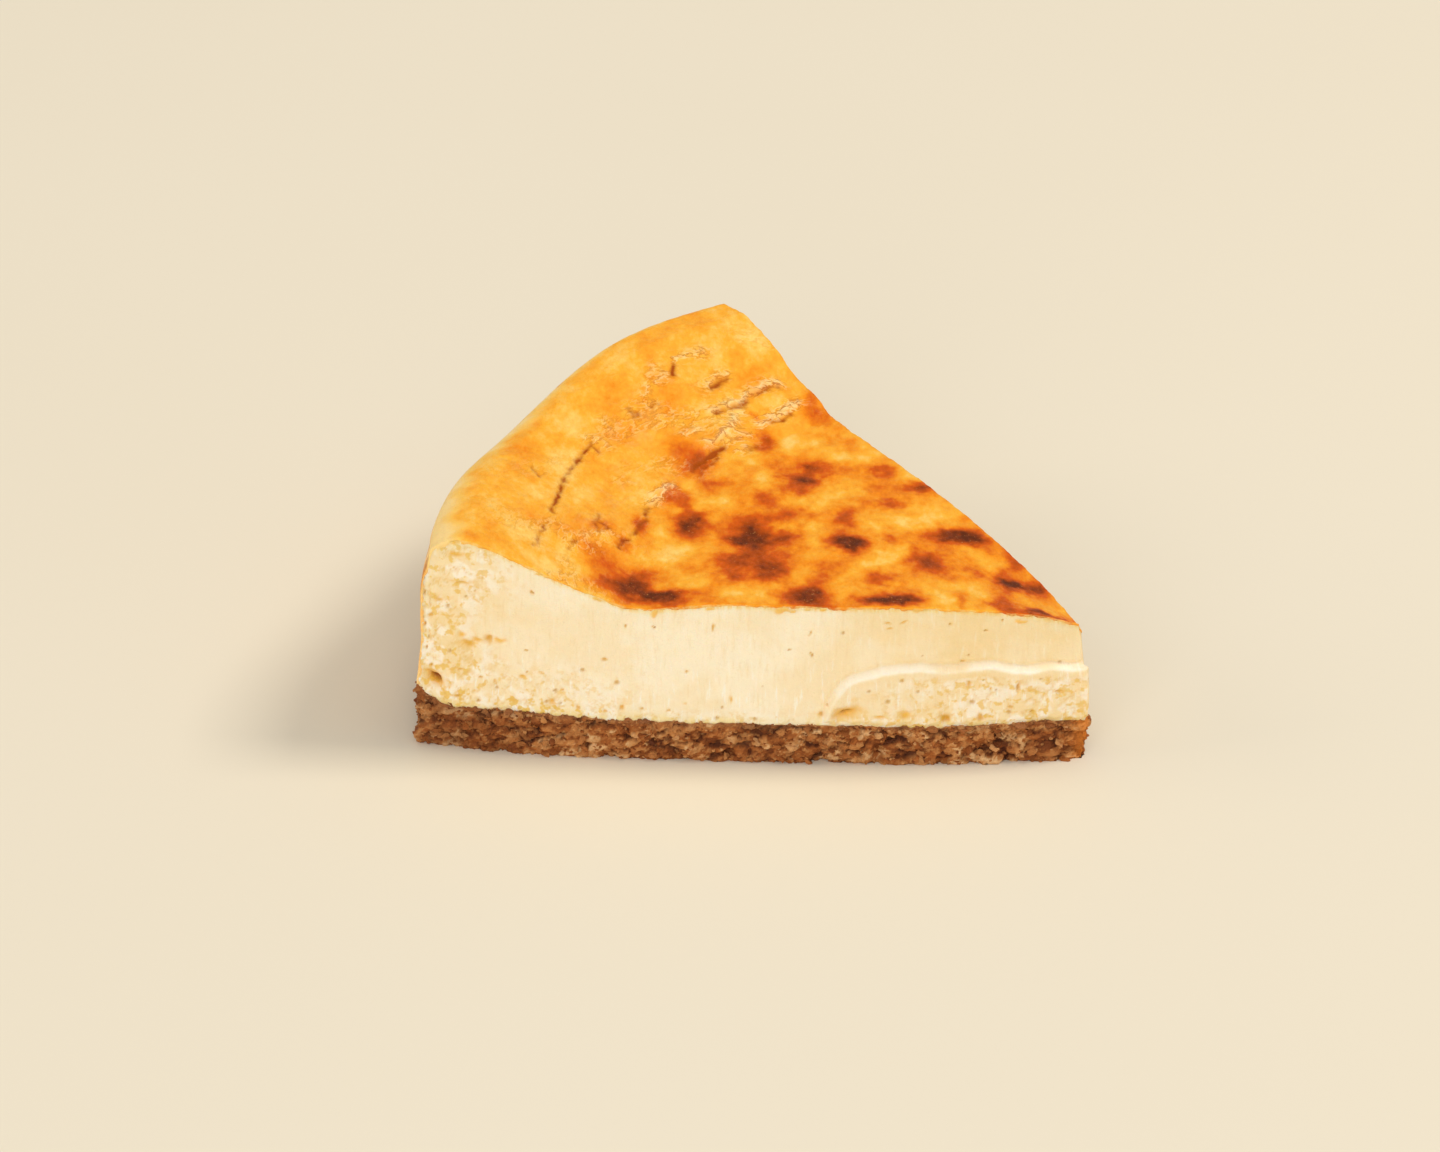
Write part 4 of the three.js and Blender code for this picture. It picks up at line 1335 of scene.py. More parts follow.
@dataclass(frozen=True)
class CreamFinish:
    """Baked cream cheese where the knife went through it."""

    pale: str = "#fdecca"
    deep: str = "#f5d79c"
    foot: str = "#f8dc96"
    # White of the curd lumps, also used for the painted highlight strokes on the cut
    white_and_highlight: str = "#fff5e2"
    streak: str = "#efd29a"
    crevice: str = "#e6b750"
    hole: str = "#f0b838"
    # Painted shade in the deepest part of holes
    brown: str = "#a05c18"
    pore: str = "#d0a04a"
    skin: str = "#f5c468"
    yolk: str = "#ecc05a"
    crumble: str = "#f3b84c"
    # Painted highlight along the ledge's lip
    lip: str = "#fff6e2"
    below: str = "#ffe08c"
    speck: str = "#e2c283"
    roughness: float = 0.52

    def material(self, speckle: Tree) -> Material:
        """Builds the material.

        Args:
            speckle: Shared speckle group.

        Returns:
            The material.
        """
        m = MaterialWriter("Cut cream")
        wander = m.noise(m.place, 0.11, 3.0, 0.6)
        ends = m.plus(m.band(wander, 0.38, 0.62, 0.0, 0.35), m.times(m.field("ends"), 0.6))
        lift = m.plus(m.field("lift"), m.times(m.noise(m.place, 0.6, 2.0), 1.6))
        inputs = {"Vector": m.field("cut_place", "Vector"), "Scale": (1.3, 0.2, 1.0)}
        streak = m.noise(m.node("ShaderNodeMapping", inputs).outputs[0], 1.0, 3.0, 0.6)
        # Painted highlight: lighter upright strokes on the cut, strongest towards its foot
        highlight_strokes = m.times(m.band(streak, 0.45, 0.3), m.band(m.field("lift"), 14.0, 4.0, 0.25, 0.8))
        curdled = m.field("curdled")
        patches = m.times(curdled, m.band(m.noise(m.place, 0.36, 1.5, 0.5), 0.54, 0.42, 0.0, 0.7))
        yolk = m.times(curdled, m.band(m.noise(m.place, 0.6, 2.0, 0.6), 0.53, 0.65, 0.0, 0.9))
        below = m.field("below")
        drips = m.times(m.band(below, 1.2, 0.15), m.band(streak, 0.42, 0.62, 0.0, 0.75))
        colour = m.coats(
            paint(self.pale),
            (ends, self.deep),
            (m.band(lift, 2.6, 1.0, 0.0, 0.8), self.foot),
            (m.band(streak, 0.52, 0.74, 0.0, 0.4), self.streak),
            (highlight_strokes, self.white_and_highlight),
            (patches, self.white_and_highlight),
            (yolk, self.yolk),
            (m.times(m.field("crevice"), 0.65), self.crevice),
            (m.times(m.field("pore"), 0.8), self.pore),
            (m.field("hole"), self.hole),
            # Painted shade in the deepest part of each hole
            (m.field("brown"), self.brown),
            # Painted highlight along the torn ledge's lip
            (m.times(m.field("lip"), 0.75), self.lip),
            (m.band(below, 1.1, 0.2, 0.0, 0.5), self.below),
            (drips, self.skin),
            (m.field("crumble"), self.crumble),
        )
        height = m.dress(speckle, m.place, colour, self.speck, Scale=1.2, Mottle=0.06, Specks=0.2)
        rough = m.band(streak, 0.35, 0.65, self.roughness - 0.08, self.roughness + 0.08)
        m.bump(m.plus(m.times(streak, 1.2), height), 0.1)
        m.feed(Roughness=rough, Specular_IOR_Level=0.3)
        m.feed(Subsurface_Weight=0.2, Subsurface_Radius=(1.0, 0.6, 0.35), Subsurface_Scale=0.0025)
        return m.material


@dataclass(frozen=True)
class SkinFinish:
    """Oven-browned skin: amber between soft scorched spots, pale on its shoulder."""

    light: str = "#ffd06c"
    amber: str = "#fdb133"
    orange: str = "#f48f18"
    rust: str = "#d75c0c"
    brown: str = "#a24208"
    dark: str = "#622a0e"
    glint: str = "#e09a58"
    warm: str = "#ffc65a"
    pale: str = "#ffd98c"
    # Painted highlight on the crests, and painted shade in the cracks, of folds and wrinkles
    crest: str = "#ffdf98"
    crack: str = "#a84a02"
    wall: str = "#ffd490"
    tan: str = "#fbba62"
    ochre: str = "#e08e34"
    fleck: str = "#9c4c12"
    edge: str = "#fbd27c"
    speck: str = "#d27a1c"
    roughness: float = 0.5

    def material(self, speckle: Tree) -> Material:
        """Builds the material.

        Args:
            speckle: Shared speckle group.

        Returns:
            The material.
        """
        m = MaterialWriter("Browned skin")
        place = m.vector("MULTIPLY", m.place, (1.0, 0.6, 0.9))
        fine = m.noise(place, 1.1, 4.0, 0.6)
        sway = m.plus(m.times(fine, 0.26), m.times(m.noise(place, 0.3, 3.0, 0.6), 0.4))
        scorch = m.plus(m.field("scorch"), m.minus(sway, 0.33))
        codes = (self.light, self.amber, self.orange, self.rust, self.brown, self.dark)
        browned = m.ramp(scorch, zip((0.02, 0.2, 0.4, 0.6, 0.8, 1.0), codes))
        glints = m.times(m.band(scorch, 0.62, 0.85), m.band(m.noise(m.place, 2.2, 2.0), 0.64, 0.74, 0.0, 0.5))
        shoulder = m.field("shoulder")
        wave, crest, crack = self._wrinkles(m)
        colour = m.coats(
            browned,
            (glints, self.glint),
            (m.band(shoulder, 0.0, 0.5), self.warm),
            (m.band(shoulder, 0.4, 1.0), self.pale),
            # Painted highlight on crests and painted shade in cracks, from the folds and the fine wrinkles
            (m.times(m.field("pale"), 0.6), self.crest),
            (crack, self.crack),
            (crest, self.crest),
            (m.times(m.field("dark"), 1.45), self.crack),
        )
        flecks = m.noise(m.place, 0.8, 4.0, 0.65)
        side = m.coats(
            paint(self.wall),
            (m.band(m.noise(m.place, 0.13, 3.0, 0.6), 0.36, 0.66), self.tan),
            (m.band(flecks, 0.55, 0.72, 0.0, 0.55), self.ochre),
        )
        charred = m.times(m.field("charred"), m.band(m.noise(m.place, 0.17, 3.0, 0.6), 0.47, 0.62))
        burnt = m.times(charred, m.band(flecks, 0.4, 0.66, 0.1, 0.7))
        colour = m.mix(m.field("wall"), colour, side)
        colour = m.coats(colour, (m.times(charred, 0.6), self.ochre), (burnt, self.fleck))
        ragged = m.band(m.noise(m.place, 0.5, 3.0, 0.7), 0.4, 0.65, 0.1, 0.8)
        edge = m.times(m.field("edge"), ragged)
        colour = m.mix(edge, colour, m.coats(paint(self.edge), (shoulder, self.pale)))
        height = m.dress(speckle, place, colour, self.speck, Scale=1.5, Mottle=0.14, Specks=0.2)
        rough = m.band(fine, 0.3, 0.7, self.roughness - 0.1, self.roughness + 0.12)
        m.bump(m.plus(m.times(height, 0.6), m.times(fine, 1.2), wave), 0.12)
        m.feed(Roughness=rough, Specular_IOR_Level=0.06)
        m.feed(Subsurface_Weight=0.1, Subsurface_Radius=(1.0, 0.4, 0.1), Subsurface_Scale=0.001)
        return m.material

    def _wrinkles(self, m: MaterialWriter) -> tuple[Socket, Socket, Socket]:
        """Fine flaky wrinkles that run round the rim, where the skin is puckered.

        Args:
            m: The material that they are written into.

        Returns:
            A height, and the shares of the painted highlight on the crests and of the painted shade in the
            cracks.
        """
        round_rim = m.vector("MULTIPLY", m.field("skin_place", "Vector"), (1.0, 0.5, 1.0))
        wave = m.noise(m.vector("ADD", round_rim, m.stray(round_rim, 0.9, 1.6)), 0.62, 3.0, 0.6)
        wrinkled = m.field("wrinkled")
        shares = []
        # Thin lines either side of the wrinkles' middle: painted highlight on crests and painted shade in
        # cracks
        for level, reach, most in ((0.545, 0.05, 0.65), (0.455, 0.045, 0.6)):
            gap = m.math("ABSOLUTE", m.minus(wave, level))
            shares.append(m.times(m.band(gap, reach, 0.012, 0.0, most), wrinkled))
        return m.times(m.band(wave, 0.44, 0.57, 0.0, 1.1), wrinkled), shares[0], shares[1]


@dataclass(frozen=True)
class CrumbFinish:
    """Pressed biscuit crumbs, each with its own tone."""

    # Painted shade in the hollows between crumbs
    deep: str = "#481c05"
    dark: str = "#7b3d10"
    middle: str = "#aa6026"
    light: str = "#cb8a4c"
    pale: str = "#e6b47a"
    top: str = "#a06c42"
    # Painted highlight where the key light strikes the blunt tip's facet
    glow: str = "#e2801f"
    roughness: float = 0.8

    def material(self, speckle: Tree) -> Material:
        """Builds the material.

        Args:
            speckle: Shared speckle group.

        Returns:
            The material.
        """
        m = MaterialWriter("Biscuit crumbs")
        tone = m.field("tone")
        stops = ((0.0, self.dark), (0.35, self.middle), (0.75, self.light), (1.0, self.pale))
        browner = m.times(m.field("outer"), m.band(m.noise(m.place, 0.3, 2.0), 0.3, 0.6, 0.2, 0.6))
        greyer = m.times(m.field("upper"), m.band(m.noise(m.place, 0.5, 3.0), 0.35, 0.6, 0.1, 0.55))
        colour = m.coats(
            m.ramp(tone, stops),
            # Painted shade in the crumbs' hollows
            (m.times(m.field("gap"), 0.85), self.deep),
            (browner, self.dark),
            (greyer, self.top),
            # Painted highlight on the lit facet at the tip
            (m.field("glow"), self.glow),
        )
        height = m.dress(speckle, m.place, colour, self.dark, Scale=2.2, Mottle=0.55, Specks=0.3)
        rough = m.band(tone, 0.0, 1.0, self.roughness - 0.1, self.roughness)
        m.bump(height, 0.25)
        m.feed(Roughness=rough, Specular_IOR_Level=0.3)
        return m.material


@dataclass(frozen=True)
class FloorFinish:
    """Plain pale floor with a barely uneven tone."""

    tone: str = "#ece0c6"
    drift: str = "#e4d6b8"

    def material(self) -> Material:
        """Builds the material.

        Returns:
            The material.
        """
        m = MaterialWriter("Pale floor")
        share = m.band(m.noise(m.place, 0.004, 2.0), 0.3, 0.7, 0.0, 0.15)
        m.feed(Base_Color=m.coats(paint(self.tone), (share, self.drift)))
        m.feed(Roughness=0.9, Specular_IOR_Level=0.1)
        return m.material


# Pieces


@dataclass
class Outline:
    """Stations of the wedge's outline, anticlockwise from the front outer corner."""

    radii: Array
    counts: list[int]
    row: Array
    column: Array
    radius: Array
    turn: Array
    side: Array
    out_x: Array
    out_y: Array

    @classmethod
    def of(cls, form: WedgeForm, radii: Array, across: int, rim: int) -> "Outline":
        """Walks round rows that run between the two cuts.

        Args:
            form: The wedge.
            radii: Radius of each row, from the tip to the rim.
            across: Number of columns of each row but the last.
            rim: Number of columns of the last row.

        Returns:
            The stations with the direction that each looks in.
        """
        last = len(radii) - 1
        counts = [across] * last + [rim]
        row = [*range(last, 0, -1), *[0] * across, *range(last), *[last] * rim]
        column = [*[0] * last, *range(across), *[across] * last, *range(rim, 0, -1)]
        sides = (Side.FRONT, Side.TIP, Side.BACK, Side.RIM)
        side = [s.value for s, n in zip(sides, (last, across, last, rim)) for _ in range(n)]
        row, column, side = np.array(row), np.array(column), np.array(side)
        radius = radii[row]
        turn = column / np.array(counts)[row]
        x, y = form.plan(radius, turn)
        travel_x = np.roll(x, -1) - np.roll(x, 1)
        travel_y = np.roll(y, -1) - np.roll(y, 1)
        length = np.hypot(travel_x, travel_y)
        return cls(radii, counts, row, column, radius, turn, side, travel_y / length, -travel_x / length)

    def join(self, maker: MeshMaker, rings: Array, levels: Sequence[Callable[[Array, Array], tuple]]) -> None:
        """Fills the walls, and closes them by a cap at the foot and one at the head.

        Args:
            maker: Mesh that the points and faces go to.
            rings: Numbers of the wall's points, one row for each level from the foot.
            levels: For the foot and the head, positions of places given as radii and turns.
        """
        closed = np.concatenate([rings, rings[:, :1]], axis=1)
        maker.grid(closed.T)
        inside = (np.arange(1, len(self.radii) - 1), np.arange(1, self.counts[0]))
        rows, columns = np.meshgrid(*inside, indexing="ij")
        for ring, level in zip((rings[0], rings[-1]), levels):
            inner = maker.add(*level(self.radii[rows], columns / self.counts[0]))
            cap = [[0] * (count + 1) for count in self.counts]
            for line, numbers in zip(cap[1:-1], inner.tolist()):
                line[1:-1] = numbers
            for number, row, column in zip(ring.tolist(), self.row, self.column):
                cap[row][column] = number
            for first, second in zip(cap, cap[1:]):
                maker.zipper(first, second)


@dataclass
class CreamFilling:
    """The cream filling under the skin, with its two knife cuts.

    Attributes:
        form: The wedge.
        step: Spacing of the upright columns on the cuts.
        levels: Number of levels from the base to the skin.
        across: Number of columns between the cuts, out of sight.
        tuck: How far its top lies under the skin's surface at the cuts.
        sink: How much deeper it lies away from the cuts.
        lip_end: Distance from the tip at which the painted highlight along the ledge's lip ends.
        back_shift: How far from the front cut's texture the back cut's is read.
    """

    form: WedgeForm
    step: float = 0.31
    levels: int = 88
    across: int = 16
    tuck: float = 0.25
    sink: float = 0.6
    lip_end: float = 47.0
    back_shift: float = 150.0

    def _radii(self) -> Array:
        """Radius of each row, closer together where the shoulder falls.

        Returns:
            The radii, from the tip outwards.
        """
        form = self.form
        start = form.cake_radius - form.shoulder_front
        flat = np.linspace(form.tip_radius, start, round((start - form.tip_radius) / self.step) + 1)
        rows = round(form.shoulder_front * math.pi / 2 / self.step)
        bend = np.sin(np.linspace(0.0, math.pi / 2, rows + 1))[1:]
        return np.concatenate([flat, start + (form.shoulder_front - self.tuck) * bend])

    def _inset(self, radius: Array, turn: Array) -> Array:
        """How far the top lies under the skin's surface."""
        gap = radius * self.form.wedge_angle * np.minimum(turn, 1.0 - turn)
        return self.tuck + self.sink * ease(gap, 1.0, 5.0)

    def _rim_shift(self, radius: Array, turn: Array, height: Array) -> tuple[Array, Array]:
        """Level move of a place by the rim's relief and by the skin's depth.

        Args:
            radius: The places' radii.
            turn: The places' turns.
            height: The places' heights.

        Returns:
            The move along X and along Y.
        """
        form = self.form
        near = ease(radius, form.cake_radius - form.rim_reach, form.cake_radius - self.tuck)
        reach = (form.rim_relief(turn, height) - self._inset(radius, turn) + self.tuck) * near
        return form.rimward(turn, reach)

    def _front_fields(self, along: Array, height: Array, share: Array) -> dict[str, Array]:
        """Relief and shading fields of the front cut.

        Args:
            along: The places' distances from the tip.
            height: The places' heights.
            share: Shares of the height between the base and the skin.

        Returns:
            Fields by name; "relief" is the outward relief.
        """
        relief, lip = self.form.ledge_fields(along, height)
        line_along, line_height = self.form.lip_line()
        under = ease(np.interp(along, line_along, line_height) - height, 0.6, 2.2)
        under = under * (1.0 - 0.7 * ease(along, 22.0, 40.0))
        outer = ease(along + 5.0 * Noise(8.0, 93).at(along, height), 98.0, 112.0)
        crumbling = 0.75 * ease(along, 66.0, 100.0) * ease(height, 20.0, 12.0)
        foot = 0.55 * ease(share, 0.16, 0.02)
        curdled = clamp(np.maximum(np.maximum(under * 0.8, outer * 0.9), crumbling) + foot)
        hole, brown, crumble = np.zeros((3, *along.shape))
        wobble_along = along + 0.25 * Noise(0.9, 91).at(along, height)
        wobble_height = height + 0.25 * Noise(0.9, 92).at(along, height)
        for item in HOLES:
            shape = item.shape(wobble_along, wobble_height)
            relief = relief - item.depth * shape
            hole = np.maximum(hole, 0.9 * shape)
            # Painted shade that darkens the deepest part of each hole
            brown = np.maximum(brown, item.brown * ease(shape, 0.35, 0.95))
        for item in CRUMBLES:
            shape = item.shape(wobble_along + wobble_height - height, 2.0 * wobble_height - height)
            relief = relief - item.depth * shape
            crumble = np.maximum(crumble, 0.85 * ease(shape, 0.15, 0.75))
        return {
            "relief": relief,
            # Painted highlight along the ledge's lip, cut off past lip_end
            "lip": lip * (along < self.lip_end),
            "curdled": curdled,
            "hole": hole,
            "brown": brown,
            "crumble": crumble,
        }

    def _walls(self, maker: MeshMaker, outline: Outline) -> Array:
        """Adds the wall's points.

        Args:
            maker: Mesh that they go to.
            outline: The stations.

        Returns:
            Their numbers, one row for each level.
        """
        form = self.form
        share = np.linspace(0.0, 1.0, self.levels + 1)[:, None]
        foot = form.layer(outline.radius, outline.turn)
        head = form.top(outline.radius, outline.turn, self._inset(outline.radius, outline.turn))
        height = lerp(foot, head, share)
        radius = np.broadcast_to(outline.radius, height.shape)
        x, y = form.plan(outline.radius, outline.turn)
        settle = ease(share, 0.0, 0.06)
        is_cut = outline.side != Side.RIM.value
        is_front = (outline.side == Side.FRONT.value) | (outline.side == Side.TIP.value)
        tip_fade = np.where(outline.side == Side.TIP.value, 1.0 - outline.turn, 1.0)
        relief = np.where(is_cut, form.cut_wave * Noise(17.0, 32).at(x, y, height), 0.0) * settle
        fields = self._front_fields(radius, height, share)
        relief = relief + np.where(is_front, fields["relief"] * tip_fade, 0.0) * settle
        shift_x, shift_y = self._rim_shift(outline.radius, outline.turn, height)
        back_curd = ease(radius + 5.0 * Noise(8.0, 94).at(radius, height), 96.0, 113.0)
        back_curd = clamp(0.8 * back_curd + 0.5 * ease(share, 0.2, 0.02))
        side_shift = np.where(outline.side == Side.BACK.value, self.back_shift, 0.0)
        mask = np.where(is_cut, 1.0, 0.0) * ease(share, 0.0, 0.04)
        mask = mask * (1.0 - 0.6 * ease(share, 0.97, 1.0))
        names = ("lip", "hole", "brown", "crumble")
        front = {name: np.where(is_front, fields[name], 0.0) * tip_fade for name in names}
        return maker.add(
            x + outline.out_x * relief + shift_x * settle - form.lean(outline.radius, share),
            y + outline.out_y * relief + shift_y * settle,
            height,
            lift=height - foot,
            below=head - height,
            curdled=np.where(is_front, fields["curdled"], back_curd),
            ends=ease(np.abs(radius - 70.0), 14.0, 44.0),
            cut_place=directions(radius + side_shift, height, 0.0 * height),
            cut_out=directions(outline.out_x * mask, outline.out_y * mask, 0.0 * mask),
            **front,
        )

    def build(self, material: Material) -> Object:
        """Builds the filling.

        Args:
            material: The cut cream.

        Returns:
            The finished object.
        """
        form = self.form
        maker = MeshMaker(form)
        radii = self._radii()
        outline = Outline.of(form, radii, self.across, self.across)
        rings = self._walls(maker, outline)

        def foot(radius: Array, turn: Array) -> tuple[Array, Array, Array]:
            """Place of a point on the crumb base."""
            return *form.plan(radius, turn), form.layer(radius, turn)

        def head(radius: Array, turn: Array) -> tuple[Array, Array, Array]:
            """Place of a point under the skin.

            Args:
                radius: The places' radii.
                turn: The places' turns.

            Returns:
                Positions along X, along Y and up.
            """
            x, y = form.plan(radius, turn)
            height = form.top(radius, turn, self._inset(radius, turn))
            shift_x, shift_y = self._rim_shift(radius, turn, height)
            return x + shift_x - form.lean(radius, 1.0), y + shift_y, height

        outline.join(maker, rings, (foot, head))
        item = maker.finish("filling_cream")
        return cut_texture().bake(item, Material=material)


@dataclass(frozen=True)
class SkinRow:
    """One row of the skin from the tip outwards: its radius, its drop down the wall, its segments."""

    radius: float
    drop: float
    count: int


@dataclass
class BrownedSkin:
    """The thin baked skin over the top and down the rim.

    Attributes:
        form: The wedge.
        step: Spacing of its outer points.
        wall_step: Spacing of its points down the rim wall.
        inner_step: Spacing of its inner points, out of sight.
        thickness: How thick it is at the cuts.
        depth: How deep its inner face lies away from the cuts.
        foot_gap: How far its inner face ends over the crumb base.
        zone_end: Distance from the cake's middle at which the blotched zone ends.
        wall_height: Height of the rim wall that the rows down it are spaced for.
        wall_travel: How far the rim wall's texture runs on beyond the top's.
        edge_run: How far the edge's overhang is read on down the rim wall.
        edge_shift: How far apart the overhangs of the two cuts are read.
        side_shift: How far apart the thickness of the four edges is read.
        inner_reach: How near the rim its inner face starts to lean with the wall.
    """

    form: WedgeForm
    step: float = 0.31
    wall_step: float = 0.5
    inner_step: float = 1.6
    thickness: float = 0.42
    depth: float = 1.1
    foot_gap: float = 0.3
    zone_end: float = 81.0
    wall_height: float = 26.0
    wall_travel: float = 24.0
    edge_run: float = 30.0
    edge_shift: float = 200.0
    side_shift: float = 100.0
    inner_reach: float = 6.0

    def _rows(self, step: float, wall_step: float, inset: float) -> list[SkinRow]:
        """Rows of a layer of the skin.

        Args:
            step: Spacing over the top.
            wall_step: Spacing down the wall.
            inset: How far inside the surface the layer lies.

        Returns:
            The rows, from the tip to the foot of the rim wall.
        """
        form = self.form
        start = form.cake_radius - form.shoulder_front
        bend = form.shoulder_front - inset
        radii = [*np.linspace(form.tip_radius + inset, start, round((start - form.tip_radius) / step) + 1)]
        turns = round(bend * math.pi / 2 / step)
        radii += [start + bend * math.sin(math.pi / 2 * i / turns) for i in range(1, turns + 1)]
        rows = [SkinRow(r, 0.0, max(4, round(r * form.wedge_angle / step))) for r in radii]
        drops = round(self.wall_height / wall_step)
        count = round(radii[-1] * form.wedge_angle / wall_step)
        return rows + [SkinRow(radii[-1], i / drops, count) for i in range(1, drops + 1)]

    def _scorch(self, radius: Array, turn: Array) -> Array:
        """How browned the skin is, in 0..1.

        Args:
            radius: The places' radii.
            turn: The places' turns.

        Returns:
            Browning in 0..1.
        """
        form = self.form
        x, y = form.plan(radius, turn)
        warp_x = x + 0.8 * Noise(3.0, 101).octaves(x, y) + 0.35 * Noise(0.9, 103).at(x, y)
        warp_y = y + 1.1 * Noise(3.0, 102).octaves(x, y) + 0.5 * Noise(0.9, 104).at(x, y)
        border = self.zone_end + 3.0 * Noise(8.0, 105).octaves(x, y)
        zone = 1.0 - ease(radius - border, -3.0, 4.0)
        cloud = Noise(4.4, 106).octaves(x, 0.75 * y, keep=0.55)
        ground = 0.23 + 0.26 * cloud + 0.1 * np.exp(-radius / 22.0)
        outer = 0.21 + 0.15 * Noise(6.5, 107).octaves(x, 0.8 * y, keep=0.6)
        scorch = lerp(outer, ground, zone)
        for spot in SCORCHES:
            middle_x, middle_y = form.polar(spot.radius, spot.angle)
            reach = np.hypot((warp_x - middle_x) / spot.wide, (warp_y - middle_y) / spot.deep)
            core = np.exp(-(reach**2.4))
            halo = 0.35 * np.exp(-((reach / 1.6) ** 2))
            scorch = scorch + spot.strength * (0.68 * core + halo)
        return np.clip(scorch, 0.0, 0.97)

    def _fields(self, radius: Array, turn: Array, drop: Array) -> dict[str, Array]:
        """Shading fields of outer points.

        Args:
            radius: The places' radii.
            turn: The places' turns.
            drop: Shares of the way down the rim wall.

        Returns:
            Fields by name, in the shape of radius.
        """
        form = self.form
        x, y = form.plan(radius, turn)
        shoulder = form.shoulder(turn)
        start = form.cake_radius - shoulder
        over = clamp((radius - start) / shoulder)
        uneven = 0.2 * Noise(4.0, 111).octaves(x, y) + 0.35 * bell(turn, 0.07)
        _, pale, dark, wrinkled = form.fold_fields(x, y)
        pucker = form.pucker_field(radius, turn)
        wall = np.maximum(ease(drop, 0.0, 0.08), ease(over, 0.93, 1.0))
        scorch = self._scorch(radius, turn) * (1.0 - wall)
        arc = radius * form.wedge_angle * turn
        patch = ease(Noise(7.0, 112).octaves(radius, arc), -0.05, 0.45)
        band = bell(radius - form.wrinkle_radius - 3.0, form.wrinkle_spread)
        plain = 1.0 - ease(scorch, 0.5, 0.8)
        turned = over - lerp(0.86, 0.5, ease(turn, 0.08, 0.75))
        charred = ease(turned, 0.0, 0.12) * ease(0.3 - drop, 0.0, 0.25)
        return {
            "scorch": scorch,
            "shoulder": ease((radius - start) / shoulder + uneven, 0.05, 0.85),
            # Painted highlight on the crests of folds and puckers, and painted shade in the cracks
            "pale": clamp(pale + 0.3 * pucker) * plain,
            "dark": clamp(dark),
            "wrinkled": clamp(np.maximum(wrinkled, 0.5 * patch * band)) * plain,
            "charred": charred,
            "wall": wall,
            "skin_place": directions(radius + self.wall_travel * drop, arc, 0.0 * arc),
        }

    def _edge_out(self, radius: Array, height: Array, side: Side, drop: float) -> tuple[Array, Array, Array]:
        """Level direction out of a cut, the cut's relief there, and the skin's overhang.

        Args:
            radius: The places' radii.
            height: The places' heights.
            side: Which cut it is.
            drop: Share of the way down the rim wall.

        Returns:
            The direction along X, the direction along Y, and how far the edge stands out.
        """
        out_x, out_y = self.form.outward(radius, side)
        relief = self.form.cut_relief(radius, height, side)
        line = radius + self.edge_run * drop + self.edge_shift * side.value
        overhang = 0.14 + 0.13 * Noise(1.3, 121).octaves(line, 0.0 * line, count=3)
        return out_x, out_y, relief + overhang

    def _outer_points(self, row: SkinRow) -> tuple[Array, Array, Array, Array, Array]:
        """Positions of one outer row, with its radii and turns.

        Args:
            row: The row.

        Returns:
            Positions along X, along Y and up, then radii and turns.
        """
        form = self.form
        turn = np.arange(row.count + 1) / row.count
        radius = np.full(turn.shape, row.radius)
        x, y = form.plan(radius, turn)
        height = lerp(form.top(radius, turn), form.layer(radius, turn), row.drop)
        x = x - form.lean(radius, 1.0 - row.drop)
        for side, gap in ((Side.FRONT, turn), (Side.BACK, 1.0 - turn)):
            out_x, out_y, reach = self._edge_out(radius, height, side, row.drop)
            fade = bell(row.radius * form.wedge_angle * gap, 1.3)
            x = x + out_x * reach * fade
            y = y + out_y * reach * fade
        near_rim = ease(radius, form.cake_radius - form.rim_reach, form.cake_radius)
        rim = form.rim_relief(turn, height) * near_rim * ease(1.0 - row.drop, 0.0, 0.08)
        shift_x, shift_y = form.rimward(turn, rim)
        return x + shift_x, y + shift_y, height, radius, turn

    def build(self, material: Material) -> Object:
        """Builds the skin as a closed shell.

        Args:
            material: The browned skin.

        Returns:
            The finished object.
        """
        form = self.form
        maker = MeshMaker(form)
        outer_rows = self._rows(self.step, self.wall_step, 0.0)
        outer: Numbers = []
        for row in outer_rows:
            x, y, height, radius, turn = self._outer_points(row)
            drop = np.full(turn.shape, row.drop)
            fields = self._fields(radius, turn, drop)
            outer.append(maker.add(x, y, height, edge=0.0 * turn, **fields).tolist())
        inner: Numbers = []
        for row in self._rows(self.inner_step, self.inner_step, self.depth):
            margin = min(0.35, 1.0 / (row.radius * form.wedge_angle))
            turn = lerp(margin, 1.0 - margin, np.arange(row.count + 1) / row.count)
            radius = np.full(turn.shape, row.radius)
            x, y = form.plan(radius, turn)
            head = form.top(radius, turn, self.depth)
            foot = form.layer(radius, turn) + self.foot_gap
            rim = -form.rim_lean * clamp((head - form.base_height) / form.top_height_front)
            rim = rim * ease(radius, form.cake_radius - self.inner_reach, form.cake_radius)
            height = lerp(head, foot, row.drop)
            shift_x, shift_y = form.rimward(turn, rim)
            inner.append(maker.add(x - form.lean(radius, 1.0) + shift_x, y + shift_y, height).tolist())
        for layer in (outer, inner):
            for first, second in zip(layer, layer[1:]):
                maker.zipper(first, second)
        self._close(maker, outer, inner, outer_rows)
        item = maker.finish("browned_skin")
        item.data.materials.append(material)
        return item

